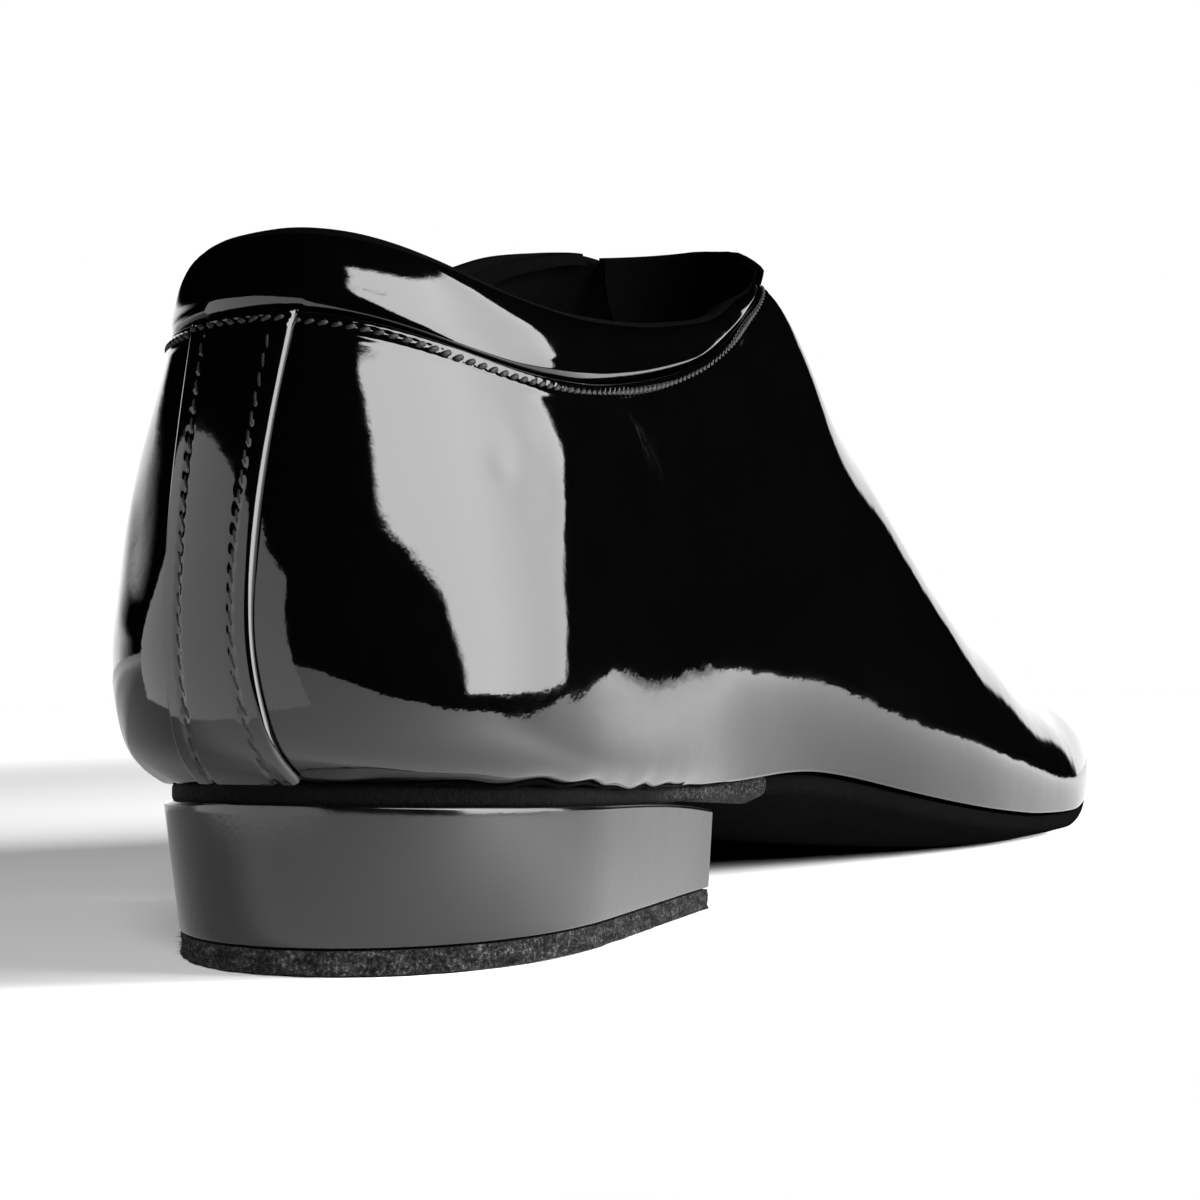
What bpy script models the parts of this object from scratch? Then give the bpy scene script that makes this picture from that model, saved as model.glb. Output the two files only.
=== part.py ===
"""Ballroom dance shoe for a left foot: a hollow patent leather upper on a thin sole with a low heel.

Lengths in the tables and constants are millimetres. The working axes start at the back of the heel seat
on the floor: X runs towards the toe, Y towards the wearer's left (the outer side), Z up.
"""

import bpy
import bmesh
import numpy as np

MM = 0.001

# Driving dimensions
LENGTH = 295.0
WALL = 1.8
GAP = 0.3
SOLE_THICKNESS = 3.4
SEAT_THICKNESS = 1.8
INSOLE_THICKNESS = 2.2
HEEL_LENGTH = 80.0
HEEL_TAPER = 1.8
HEEL_EDGE_ROUND = 0.8
TOP_PIECE_THICKNESS = 3.0
TOP_PIECE_INSET = 0.2
SOLE_INSET_HEEL = 1.6
SOLE_INSET_TOE = 0.4
SEAT_END = 0.2
WAIST_START = 0.4
INSOLE_INSET = 3.0

# Share of the sole's half width that stays level before its edges rise, and where the waist ends and the
# ball starts
LEVEL_WAIST = 0.35
LEVEL_BALL = 0.78
WAIST_END = 0.45
BALL_START = 0.70

# Round ends of the plan: share of the length and fullness
HEEL_END = 0.135
HEEL_FULLNESS = 2.4
TOE_END = 0.27
TOE_FULLNESS = 2.3
TOE_CAP = 8

# Swell of the wall just above the heel seat: its depth, its place up the wall and where it is gone
SEAT_ROLL = 1.5
SEAT_ROLL_RISE = 0.05
SEAT_ROLL_END = 0.36

# Opening: the throat starts at the corner of the top line and closes on the instep
CORNER = 0.43
THROAT_END = 0.558

# Collar band
COLLAR_END = 0.375
COLLAR_LAP = 3.0
COLLAR_SET_BACK = 0.2
COLLAR_PAD = 5.0
COLLAR_PAD_FRONT = 2.0

# Backstay strip on the heel's back
BACKSTAY_THICKNESS = 1.0
BACKSTAY_FOOT = 0.015

# Tongue
TONGUE_THICKNESS = 1.4

# Mesh density
STATIONS = 46
WALL_ROWS = (0.0, 0.05, 0.11, 0.19, 0.28, 0.37, 0.46, 0.55, 0.64, 0.73, 0.82, 0.91, 1.0)
SOLE_COLUMNS = 8
BACKSTAY_STEPS = 6
TONGUE_STEPS = 8

# Middle of the finished shoe's box, so that the world origin lies under it
MIDDLE_X = 143.4
MIDDLE_Y = -1.9

# Sections along the shoe. at: share of the length. half, centre: plan of the feather line. sole: underside
# of the sole on the centre line. roll_in, roll_out: rise of the sole's inner and outer edge. belly,
# belly_rise: swell of the wall and its height share. shoulder, shoulder_rise: width and height share of the
# wall's upper turn.
SECTION_COLUMNS = (
    "at", "half", "centre", "sole", "roll_in", "roll_out", "belly", "belly_rise", "shoulder", "shoulder_rise")
SECTIONS = (
    (0.00, 31.5, 0.0, 21.4, 0.0, 0.0, 8.8, 0.30, 34.0, 0.70),
    (0.12, 30.4, 0.3, 19.2, 0.0, 0.0, 8.0, 0.30, 31.0, 0.70),
    (0.22, 28.6, 1.0, 17.3, 0.3, 0.2, 8.2, 0.32, 29.0, 0.72),
    (0.31, 28.5, 2.0, 13.6, 2.9, 1.0, 7.8, 0.36, 29.2, 0.80),
    (0.39, 31.2, 1.6, 8.8, 7.0, 1.8, 6.8, 0.42, 29.0, 0.91),
    (0.48, 36.6, 0.3, 4.6, 6.7, 1.5, 5.9, 0.48, 28.8, 0.98),
    (0.58, 42.8, -0.2, 1.4, 4.8, 0.8, 5.6, 0.52, 27.0, 1.00),
    (0.68, 45.2, -1.2, 0.0, 2.8, 0.4, 4.9, 0.52, 26.0, 1.00),
    (0.80, 45.3, -3.7, 0.3, 1.8, 0.6, 3.2, 0.52, 29.0, 1.00),
    (0.90, 44.8, -6.3, 5.0, 3.2, 1.6, 2.9, 0.55, 32.0, 1.00),
    (1.00, 45.0, -8.0, 14.6, 0.0, 0.0, 3.9, 0.50, 34.0, 0.93),
)

# Top line from the back to the corner, then the throat's edge to its foot: half width and height of the
# inner and the outer side.
TOP_COLUMNS = ("at", "half_in", "z_in", "half_out", "z_out")
TOP_LINE = (
    (0.000, 25.8, 93.6, 25.8, 93.6),
    (0.055, 24.6, 88.4, 28.4, 94.4),
    (0.110, 24.4, 86.8, 28.2, 94.0),
    (0.185, 24.6, 88.2, 25.8, 97.4),
    (0.255, 25.4, 91.0, 26.4, 103.0),
    (0.310, 25.4, 95.4, 26.8, 108.8),
    (0.365, 22.5, 101.0, 25.0, 113.6),
    (0.405, 19.4, 105.2, 21.8, 116.0),
    (0.430, 16.2, 107.0, 18.4, 116.8),
    (0.450, 13.2, 103.0, 16.2, 116.0),
    (0.475, 9.0, 97.2, 12.2, 112.6),
    (0.505, 5.6, 91.2, 7.4, 102.0),
    (0.530, 2.5, 86.0, 3.2, 89.2),
    (0.558, 0.0, 80.0, 0.0, 80.0),
)

# Ridge of the instep from the foot of the throat to the toe
RIDGE_COLUMNS = ("at", "z")
RIDGE = (
    (0.53, 86.0), (0.558, 80.0), (0.58, 75.6), (0.63, 65.4), (0.68, 56.4), (0.74, 47.6), (0.80, 40.8),
    (0.90, 34.6), (1.00, 32.4),
)

# Back and toe in side view: how far the wall stands forward of the heel seat or of the toe, up the wall
BACK_COLUMNS = ("rise", "forward")
BACK = ((0.0, 0.0), (0.05, -3.8), (0.12, -6.2), (0.25, -7.6), (0.4, -6.0), (0.6, -2.6), (0.8, 0.6), (1.0, 3.6))
TOE = ((0.0, 0.0), (0.2, 0.6), (0.45, -2.8), (0.7, -9.0), (0.88, -17.5), (1.0, -25.0))

# Height of the collar band below the top line
COLLAR_COLUMNS = ("at", "height")
COLLAR = (
    (0.0, 11.4), (0.055, 11.8), (0.11, 11.2), (0.185, 9.6), (0.265, 7.0), (0.32, 4.9), (0.365, 2.6),
    (0.43, 0.0),
)

# Backstay up the wall: half width, and its middle towards the outer side
BACKSTAY_COLUMNS = ("rise", "half", "middle")
BACKSTAY = ((0.0, 7.6, 0.0), (0.3, 6.6, 0.4), (0.6, 7.0, 1.9), (1.0, 8.2, 1.8))

# Tongue from its foot under the vamp to its free edge: place of its middle, half width, and how far its
# edges fall down and back
TONGUE_COLUMNS = ("x", "y", "z", "half", "down", "back")
TONGUE = (
    (184.0, -1.0, 61.6, 9.0, 2.4, 0.0),
    (172.0, -0.6, 70.8, 11.0, 3.2, 0.0),
    (160.0, -0.2, 79.4, 12.0, 3.6, 0.0),
    (151.0, 0.2, 86.2, 12.2, 3.6, 0.6),
    (145.0, 0.6, 92.2, 12.0, 3.6, 3.0),
    (141.5, 1.6, 99.6, 12.4, 3.0, 8.5),
    (139.5, 1.6, 108.0, 14.0, 1.6, 8.5),
    (138.5, 1.6, 115.8, 13.4, 1.8, 6.6),
)

INNER, OUTER = -1.0, 1.0

FINISHES = {
    "patent": ((0.006, 0.006, 0.007), 0.06),
    "collar_patent": ((0.007, 0.007, 0.008), 0.08),
    "heel_patent": ((0.010, 0.010, 0.011), 0.16),
    "suede": ((0.055, 0.054, 0.053), 0.95),
    "fibre": ((0.020, 0.020, 0.021), 0.90),
    "lining": ((0.012, 0.012, 0.013), 0.70),
}


def spline(xs, ys):
    """Natural cubic spline through the points, as a function of an array."""
    xs = np.asarray(xs, float)
    ys = np.asarray(ys, float)
    count = len(xs)
    step = np.diff(xs)
    matrix = np.eye(count)
    right = np.zeros(count)
    for i in range(1, count - 1):
        matrix[i, i - 1:i + 2] = (step[i - 1], 2 * (step[i - 1] + step[i]), step[i])
        right[i] = 6 * ((ys[i + 1] - ys[i]) / step[i] - (ys[i] - ys[i - 1]) / step[i - 1])
    bend = np.linalg.solve(matrix, right)

    def value(x):
        x = np.asarray(x, float)
        k = np.clip(np.searchsorted(xs, x) - 1, 0, count - 2)
        h = step[k]
        a = (xs[k + 1] - x) / h
        b = (x - xs[k]) / h
        curve = (a ** 3 - a) * bend[k] + (b ** 3 - b) * bend[k + 1]
        return a * ys[k] + b * ys[k + 1] + curve * h * h / 6

    return value


def columns(names, rows):
    """One spline for each named column of a table, over its first column."""
    table = np.array(rows)
    return {name: spline(table[:, 0], table[:, i]) for i, name in enumerate(names)}


SECTION = columns(SECTION_COLUMNS, SECTIONS)
TOP = columns(TOP_COLUMNS, TOP_LINE)
RIDGE_Z = columns(RIDGE_COLUMNS, RIDGE)["z"]
BACK_X = columns(BACK_COLUMNS, BACK)["forward"]
TOE_X = columns(BACK_COLUMNS, TOE)["forward"]
COLLAR_HEIGHT = columns(COLLAR_COLUMNS, COLLAR)["height"]
STAY = columns(BACKSTAY_COLUMNS, BACKSTAY)


def share(s):
    """Share of the length for an even station s, close together at the round ends."""
    return (1 - np.cos(np.pi * np.asarray(s, float))) / 2


def station(at):
    """Even station for a share of the length."""
    return np.arccos(1 - 2 * np.asarray(at, float)) / np.pi


def end_round(at):
    """Width factor that rounds the plan at the heel and at the toe."""
    heel = np.clip((HEEL_END - at) / HEEL_END, 0, 1) ** HEEL_FULLNESS
    toe = np.clip((at - 1 + TOE_END) / TOE_END, 0, 1) ** TOE_FULLNESS
    return np.sqrt(np.clip(1 - heel - toe, 0, 1))


def ease(x, start, end):
    """Smooth step from 0 at start to 1 at end."""
    part = np.clip((x - start) / (end - start), 0, 1)
    return part * part * (3 - 2 * part)


def bezier(t, a, b, c, d):
    """Cubic with the four control values."""
    u = 1 - t
    return u ** 3 * a + 3 * t * u * u * b + 3 * t * t * u * c + t ** 3 * d


def sole_under(at, across):
    """Height of the sole's underside, across from -1 at the inner edge to 1 at the outer edge."""
    level = LEVEL_WAIST + (LEVEL_BALL - LEVEL_WAIST) * ease(at, WAIST_END, BALL_START)
    lift = np.clip((np.abs(across) - level) / (1 - level), 0, 1) ** 2
    roll = np.where(across < 0, SECTION["roll_in"](at), SECTION["roll_out"](at))
    flat = np.maximum(SECTION["sole"](at), 0.0)
    return flat + np.maximum(roll, 0.0) * lift


def sole_thickness(at):
    """Thickness of the sole, pared down under the heel seat."""
    return SEAT_THICKNESS + (SOLE_THICKNESS - SEAT_THICKNESS) * ease(at, SEAT_END, WAIST_START)


def top_edge(at, side):
    """Half width and height of the upper's highest edge: top line, throat edge, then the ridge."""
    suffix = "_in" if side == INNER else "_out"
    open_part = np.minimum(at, THROAT_END)
    half = np.where(at < THROAT_END, np.maximum(TOP["half" + suffix](open_part), 0.0), 0.0)
    z = np.where(at < THROAT_END, TOP["z" + suffix](open_part), RIDGE_Z(np.maximum(at, THROAT_END)))
    return half, z


def section_z(at, t, side):
    """Height on the wall's section curve at t, from 0 at the feather line to 1 at the highest edge."""
    low = sole_under(at, np.full_like(at, side)) + sole_thickness(at) + GAP
    high = top_edge(at, side)[1]
    belly = low + (high - low) * SECTION["belly_rise"](at)
    shoulder = low + (high - low) * np.minimum(SECTION["shoulder_rise"](at), 1.0)
    return bezier(t, low, belly, shoulder, high)


def seat_roll(at, t):
    """Swell of the wall just above the heel seat."""
    rise = t / SEAT_ROLL_RISE
    return SEAT_ROLL * rise * np.exp(1 - rise) * (1 - ease(at, SEAT_END, SEAT_ROLL_END))


def wall(s, t, side):
    """Points of the upper's outer surface."""
    s, t = np.broadcast_arrays(np.asarray(s, float), np.asarray(t, float))
    at = share(s)
    half = SECTION["half"](at)
    width = bezier(t, half, half + SECTION["belly"](at), SECTION["shoulder"](at), top_edge(at, side)[0])
    x = LENGTH * at + BACK_X(t) * (1 - at) + TOE_X(t) * at ** TOE_CAP
    y = SECTION["centre"](at) + side * (width + seat_roll(at, t)) * end_round(at)
    return np.stack([x, y, section_z(at, t, side)], -1)


def wall_normal(s, t, side):
    """Outward unit normals of the upper's outer surface."""
    s, t = np.broadcast_arrays(np.asarray(s, float), np.asarray(t, float))
    step = 1e-4
    s0 = np.maximum(s - step, 0)
    s1 = np.minimum(s + step, 1)
    t0 = np.maximum(t - step, 0)
    t1 = np.minimum(t + step, 1)
    along = (wall(s1, t, side) - wall(s0, t, side)) / (s1 - s0)[..., None]
    up = (wall(s, t1, side) - wall(s, t0, side)) / (t1 - t0)[..., None]
    normal = np.cross(along, up) * -side
    return normal / np.linalg.norm(normal, axis=-1, keepdims=True)


def wall_offset(s, t, side, out):
    """Points at a distance out from the upper's outer surface."""
    return wall(s, t, side) + wall_normal(s, t, side) * np.asarray(out, float)[..., None]


def seam_t(s, side):
    """Place up the wall of the folded edge under the collar band, found by halving."""
    at = share(s)
    goal = top_edge(at, side)[1] - np.maximum(COLLAR_HEIGHT(np.minimum(at, CORNER)), 0.0)
    low = np.full_like(at, 0.4)
    high = np.ones_like(at)
    for _ in range(40):
        middle = (low + high) / 2
        below = section_z(at, middle, side) < goal
        low = np.where(below, middle, low)
        high = np.where(below, high, middle)
    return np.where(at < CORNER, (low + high) / 2, 1.0)


def ring_stations():
    """Stations from heel to toe, with the corner and the foot of the throat among them."""
    even = np.linspace(0, 1, STATIONS + 1)
    marks = station((CORNER, THROAT_END))
    far_enough = np.min(np.abs(even[:, None] - marks[None, :]), axis=1) > 0.3 / STATIONS
    return np.sort(np.concatenate([even[far_enough], marks]))


def new_object(name, finish, points, faces, parent):
    """Object of one closed body from points in millimetres and faces, with its finish."""
    mesh = bpy.data.meshes.new(name)
    mesh.from_pydata([tuple(np.asarray(p) * MM) for p in points], [], faces)
    body = bmesh.new()
    body.from_mesh(mesh)
    bmesh.ops.remove_doubles(body, verts=body.verts, dist=0.00001)
    bmesh.ops.dissolve_degenerate(body, edges=body.edges, dist=0.00001)
    bmesh.ops.recalc_face_normals(body, faces=body.faces)
    if body.calc_volume(signed=True) < 0:
        bmesh.ops.reverse_faces(body, faces=body.faces)
    body.to_mesh(mesh)
    body.free()
    mesh.shade_smooth()
    mesh.set_sharp_from_angle(angle=0.7)
    made = bpy.data.objects.new(name, mesh)
    made.parent = parent
    bpy.context.collection.objects.link(made)
    colour, roughness = FINISHES[finish]
    material = bpy.data.materials.new(name)
    material.use_nodes = True
    shader = material.node_tree.nodes["Principled BSDF"]
    shader.inputs["Base Color"].default_value = (*colour, 1.0)
    shader.inputs["Roughness"].default_value = roughness
    shader.inputs["Metallic"].default_value = 0.0
    mesh.materials.append(material)
    return made


def grid_faces(rows, cols, first=0):
    """Quads of a grid of rows by cols points numbered row by row."""
    faces = []
    for i in range(rows - 1):
        for j in range(cols - 1):
            a = first + i * cols + j
            faces.append((a, a + 1, a + cols + 1, a + cols))
    return faces


def shell(outside, inside):
    """Points and faces of a closed sheet between two grids of the same size."""
    rows, cols = outside.shape[:2]
    size = rows * cols
    points = np.concatenate([outside.reshape(-1, 3), inside.reshape(-1, 3)])
    faces = grid_faces(rows, cols)
    faces += [tuple(reversed(face)) for face in grid_faces(rows, cols, size)]
    edge = list(range(cols))
    edge += [i * cols + cols - 1 for i in range(1, rows)]
    edge += [(rows - 1) * cols + j for j in range(cols - 2, -1, -1)]
    edge += [i * cols for i in range(rows - 2, 0, -1)]
    for a, b in zip(edge, edge[1:] + edge[:1]):
        faces.append((b, a, a + size, b + size))
    return points, faces


def make_upper(parent):
    """Hollow upper, open at the top line, at the throat and underneath."""
    stations = ring_stations()
    loops = []
    for out in (0.0, -WALL):
        halves = []
        for side in (INNER, OUTER):
            s = stations[:, None]
            t = seam_t(stations, side)[:, None] * np.array(WALL_ROWS)[None, :]
            halves.append(wall_offset(s + 0 * t, t, side, out + 0 * t))
        loops.append(np.concatenate([halves[0][::-1], halves[1][1:]]))
    outside, inside = loops
    merge_ridge(stations, outside, inside)
    points, faces = closed_tube(outside, inside, stations)
    return new_object("upper", "patent", points, faces, parent)


def merge_ridge(stations, outside, inside):
    """Brings the two sides together on the ridge and at the toe, so that they weld."""
    count = len(stations)
    closed = share(stations) >= THROAT_END - 1e-9
    for grid in (outside, inside):
        for i in np.nonzero(closed)[0]:
            left = count - 1 - i
            right = count - 1 + i
            middle = (grid[left, -1] + grid[right, -1]) / 2
            grid[left, -1] = middle
            grid[right, -1] = middle
        toe = (grid[0] + grid[-1]) / 2
        grid[0] = toe
        grid[-1] = toe


def closed_tube(outside, inside, stations):
    """Faces of the upper: both skins, the rim underneath and the rim along the opening."""
    rows, cols = outside.shape[:2]
    size = rows * cols
    points = np.concatenate([outside.reshape(-1, 3), inside.reshape(-1, 3)])
    faces = grid_faces(rows, cols)
    faces += [tuple(reversed(face)) for face in grid_faces(rows, cols, size)]
    at = share(np.concatenate([stations[::-1], stations[1:]]))
    for i in range(rows - 1):
        a = i * cols
        b = a + cols
        faces.append((a, b, b + size, a + size))
        if max(at[i], at[i + 1]) <= THROAT_END + 1e-9:
            c = a + cols - 1
            d = b + cols - 1
            faces.append((d, c, c + size, d + size))
    return points, faces


def plan(at, across, inset):
    """Plan points inside the feather line, across from -1 to 1, drawn in by inset."""
    half = np.maximum(SECTION["half"](at) - inset, 0.0) * end_round(at)
    x = inset + (LENGTH - 2 * inset) * at
    return x, SECTION["centre"](at) + across * half


def plate(name, finish, inset, under, above, parent):
    """Closed plate over the whole plan, between two height functions."""
    at = share(np.linspace(0, 1, STATIONS + 1)[1:-1])[:, None]
    across = np.linspace(-1, 1, SOLE_COLUMNS + 1)[None, :]
    at, across = np.broadcast_arrays(at, across)
    x, y = plan(at, across, inset(at))
    low = np.stack([x, y, under(at, across)], -1)
    high = np.stack([x, y, above(at, across)], -1)
    points, faces = shell(high, low)
    points = list(points)
    last = (at.shape[0] - 1) * (SOLE_COLUMNS + 1)
    add_tip(points, faces, inset, under, above, 0.0, range(0, SOLE_COLUMNS + 1), at.size)
    add_tip(points, faces, inset, under, above, 1.0, range(last, last + SOLE_COLUMNS + 1), at.size)
    return new_object(name, finish, points, faces, parent)


def add_tip(points, faces, inset, under, above, at, row, size):
    """Closes one round end of a plate on a short upright edge, in place of the end face."""
    here = np.array([at])
    x, y = plan(here, np.zeros(1), inset(here))
    high = len(points)
    points.append((x[0], y[0], above(here, np.zeros(1))[0]))
    points.append((x[0], y[0], under(here, np.zeros(1))[0]))
    row = list(row)
    wall_faces = {frozenset((a, b, a + size, b + size)) for a, b in zip(row, row[1:])}
    faces[:] = [face for face in faces if frozenset(face) not in wall_faces]
    for a, b in zip(row, row[1:]):
        faces.append((a, b, high))
        faces.append((a + size, b + size, high + 1))
    for a in (row[0], row[-1]):
        faces.append((a, a + size, high + 1, high))


def sole_inset(at):
    """The sole's edge is set in under the heel seat and almost flush at the forefoot."""
    return SOLE_INSET_HEEL + (SOLE_INSET_TOE - SOLE_INSET_HEEL) * ease(at, SEAT_END, WAIST_START)


def make_outsole(parent):
    """Thin sole with its arch, rolled inner waist and toe spring."""
    def above(at, across):
        return sole_under(at, across) + sole_thickness(at)
    return plate("outsole", "suede", sole_inset, sole_under, above, parent)


def make_insole(parent):
    """Foot bed inside the upper."""
    def inset(at):
        return np.full_like(at, INSOLE_INSET)

    def under(at, across):
        return sole_under(at, across) + sole_thickness(at) + GAP

    def above(at, across):
        return under(at, across) + INSOLE_THICKNESS
    return plate("insole", "lining", inset, under, above, parent)


def heel_loop(inset):
    """Plan of the heel, from the inner end of the breast round the back to its outer end."""
    end = HEEL_LENGTH / LENGTH
    s = np.linspace(0, station(end), STATIONS // 2 + 1)
    at = share(s)
    half = (SECTION["half"](at) - inset) * end_round(at)
    x = inset + (HEEL_LENGTH - 1.1 * inset) * at / end
    inner = np.stack([x, SECTION["centre"](at) - half], -1)
    outer = np.stack([x, SECTION["centre"](at) + half], -1)
    return np.concatenate([inner[::-1], outer[1:]]), np.concatenate([at[::-1], at[1:]])


def stack(name, finish, levels, parent):
    """Closed block through level loops that mirror each other across their middle point."""
    count = len(levels[0])
    points = np.concatenate(levels)
    faces = []
    for k in range(len(levels) - 1):
        a = k * count
        b = a + count
        for i in range(count):
            j = (i + 1) % count
            faces.append((a + i, a + j, b + j, b + i))
    last = (len(levels) - 1) * count
    for i in range(count // 2):
        j = count - 1 - i
        low = (i, i + 1, j - 1, j) if i + 1 < j - 1 else (i, i + 1, j)
        faces.append(low)
        faces.append(tuple(reversed([last + n for n in low])))
    return new_object(name, finish, points, faces, parent)


def make_heel(parent):
    """Covered heel block, wider at its top and rounded along the top edge."""
    bottom = TOP_PIECE_THICKNESS + GAP
    edge = HEEL_EDGE_ROUND
    levels = []
    for drop, inset in ((None, HEEL_TAPER), (edge, 0.0), (edge * 0.3, edge * 0.3), (0.0, edge)):
        loop, at = heel_loop(inset)
        seat = sole_under(at, np.zeros_like(at)) - GAP
        z = np.full_like(at, bottom) if drop is None else seat - drop
        levels.append(np.column_stack([loop, z]))
    return stack("heel", "heel_patent", levels, parent)


def make_heel_top_piece(parent):
    """Flat walking piece under the heel block."""
    levels = []
    for z in (0.0, TOP_PIECE_THICKNESS):
        loop, at = heel_loop(HEEL_TAPER + TOP_PIECE_INSET)
        levels.append(np.column_stack([loop, np.full_like(at, z)]))
    return stack("heel_top_piece", "fibre", levels, parent)


def collar_profile(height, pad):
    """Section of the collar band above the seam: places up from it and out from the wall's surface."""
    crown = min(pad / 2, height * 0.5)
    back = -COLLAR_SET_BACK - pad
    return (
        (min(GAP + 0.6, height * 0.4), -COLLAR_SET_BACK - 0.9),
        (height * 0.5, -COLLAR_SET_BACK),
        (height - crown * 0.75, -COLLAR_SET_BACK - crown * 0.12),
        (height - crown * 0.18, -COLLAR_SET_BACK - crown * 0.55),
        (height, -COLLAR_SET_BACK - crown),
        (height - crown * 0.2, back + crown * 0.45),
        (height - crown * 0.9, back),
    )


def collar_section(s, side):
    """Closed section of the collar band: the lap behind the upper's edge, then the padded part."""
    one = np.array([s])
    height = float(COLLAR_HEIGHT(share(one))[0])
    pad = COLLAR_PAD_FRONT + (COLLAR_PAD - COLLAR_PAD_FRONT) * np.clip(height / 9.0, 0, 1)
    lap = COLLAR_LAP * np.clip(height / 6.0, 0.4, 1.0)
    seam = seam_t(one, side)
    foot = wall(one, seam, side)[0]
    normal = wall_normal(one, seam, side)[0]
    way = wall(one, np.ones(1), side)[0] - foot
    tangent = way - normal * np.dot(way, normal)
    tangent = tangent / np.linalg.norm(tangent)
    out = normal * np.array((1.0, 1.0, 0.0))
    out = out / np.linalg.norm(out)
    behind = -WALL - GAP
    bottom = min(-COLLAR_SET_BACK - pad, behind - 1.0)
    points = [foot - tangent * lap + normal * (behind - 0.15), foot + normal * behind]
    points += [foot + way * up / height + out * place for up, place in collar_profile(height, pad)]
    points += [foot - tangent * lap * 0.4 + normal * bottom, foot - tangent * lap + normal * (behind - 1.0)]
    return points


def make_collar(parent):
    """Padded band along the top line, its lower edge behind the upper's folded edge."""
    stations = ring_stations()
    half_loop = np.append(stations[share(stations) < COLLAR_END - 0.01], station(COLLAR_END))
    places = [(s, INNER) for s in half_loop[::-1]] + [(s, OUTER) for s in half_loop[1:]]
    sections = np.array([collar_section(s, side) for s, side in places])
    rows, cols = sections.shape[:2]
    points = sections.reshape(-1, 3)
    faces = []
    for i in range(rows - 1):
        for j in range(cols):
            a = i * cols + j
            b = i * cols + (j + 1) % cols
            faces.append((a, b, b + cols, a + cols))
    faces.append(tuple(range(cols)))
    faces.append(tuple(reversed(range((rows - 1) * cols, rows * cols))))
    return new_object("collar", "collar_patent", points, faces, parent)


def station_at_width(t, width, side):
    """Station where the wall at t stands a given width from the centre line, found by halving."""
    low, high = 0.0, station(HEEL_END)
    for _ in range(40):
        middle = (low + high) / 2
        if side * wall(middle, t, side)[1] < width:
            low = middle
        else:
            high = middle
    return (low + high) / 2


def make_backstay(parent):
    """Strip over the back seam, laid on the upper from the feather line to the folded edge."""
    top = float(seam_t(np.zeros(1), INNER)[0])
    grids = [[], []]
    for t in (BACKSTAY_FOOT, *(row * top for row in WALL_ROWS[1:])):
        half = float(STAY["half"](t / top))
        middle = float(STAY["middle"](t / top))
        rows = [[], []]
        for y in np.linspace(middle - half, middle + half, BACKSTAY_STEPS + 1):
            side = INNER if y < 0 else OUTER
            s = np.array(station_at_width(t, abs(y), side))
            for row, out in zip(rows, (GAP + BACKSTAY_THICKNESS, GAP)):
                row.append(wall_offset(s, np.array(t), side, np.array(out)))
        for grid, row in zip(grids, rows):
            grid.append(row)
    points, faces = shell(np.array(grids[0]), np.array(grids[1]))
    return new_object("backstay", "patent", points, faces, parent)


def make_tongue(parent):
    """Arched flap under the throat that stands up at the front of the opening."""
    rows = [dict(zip(TONGUE_COLUMNS, row)) for row in TONGUE]
    places = np.linspace(-1, 1, TONGUE_STEPS + 1)
    front = np.array([
        [(r["x"] - r["back"] * p * p, r["y"] + r["half"] * p, r["z"] - r["down"] * p * p) for p in places]
        for r in rows
    ])
    along = np.gradient(front, axis=0)
    across = np.gradient(front, axis=1)
    normal = np.cross(along, across)
    normal = normal / np.linalg.norm(normal, axis=-1, keepdims=True)
    if normal[0, TONGUE_STEPS // 2, 2] < 0:
        normal = -normal
    points, faces = shell(front, front - normal * TONGUE_THICKNESS)
    return new_object("tongue", "patent", points, faces, parent)


def main():
    """Clears the scene and builds every piece under one empty."""
    for old in list(bpy.data.objects):
        bpy.data.objects.remove(old, do_unlink=True)
    shoe = bpy.data.objects.new("shoe", None)
    shoe.location = (-MIDDLE_X * MM, -MIDDLE_Y * MM, 0.0)
    bpy.context.collection.objects.link(shoe)
    for make in (make_outsole, make_insole, make_heel, make_heel_top_piece, make_upper, make_collar,
                 make_backstay, make_tongue):
        make(shoe)


main()
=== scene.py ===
"""Looks of a left ballroom dance shoe in black patent leather, laid out as an add-on and run as a script.

Lengths in the tables of the last are millimetres from the back of the heel seat on the floor: X runs
towards the toe, Y towards the wearer's left (the outer side), Z up. Properties and studio are in metres.
"""

import math

import bpy
import bmesh
import numpy as np
from mathutils import Matrix, Vector


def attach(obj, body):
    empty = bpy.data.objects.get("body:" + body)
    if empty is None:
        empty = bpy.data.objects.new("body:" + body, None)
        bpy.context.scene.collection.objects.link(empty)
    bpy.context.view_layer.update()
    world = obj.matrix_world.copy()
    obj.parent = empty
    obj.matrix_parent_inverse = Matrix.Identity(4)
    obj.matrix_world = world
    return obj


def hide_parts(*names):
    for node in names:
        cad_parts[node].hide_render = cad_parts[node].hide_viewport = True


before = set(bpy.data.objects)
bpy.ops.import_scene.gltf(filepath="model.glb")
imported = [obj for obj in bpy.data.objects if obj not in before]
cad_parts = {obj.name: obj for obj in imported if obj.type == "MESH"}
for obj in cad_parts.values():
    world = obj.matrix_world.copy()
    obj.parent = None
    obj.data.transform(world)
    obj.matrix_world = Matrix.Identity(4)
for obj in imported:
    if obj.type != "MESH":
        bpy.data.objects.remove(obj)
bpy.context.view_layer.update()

bl_info = {
    "name": "Ballroom shoe looks",
    "version": (1, 0, 0),
    "blender": (4, 5, 0),
    "location": "View3D > Sidebar > Shoe",
    "description": "Builds the leather, the stitching, the sole and the studio on the shoe's frame",
    "category": "Object",
}

MM = 0.001
BODY = "root"

# Back of the heel seat in the frame's axes, in millimetres
ORIGIN = np.array((-143.4, 1.9, 0.0))

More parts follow.
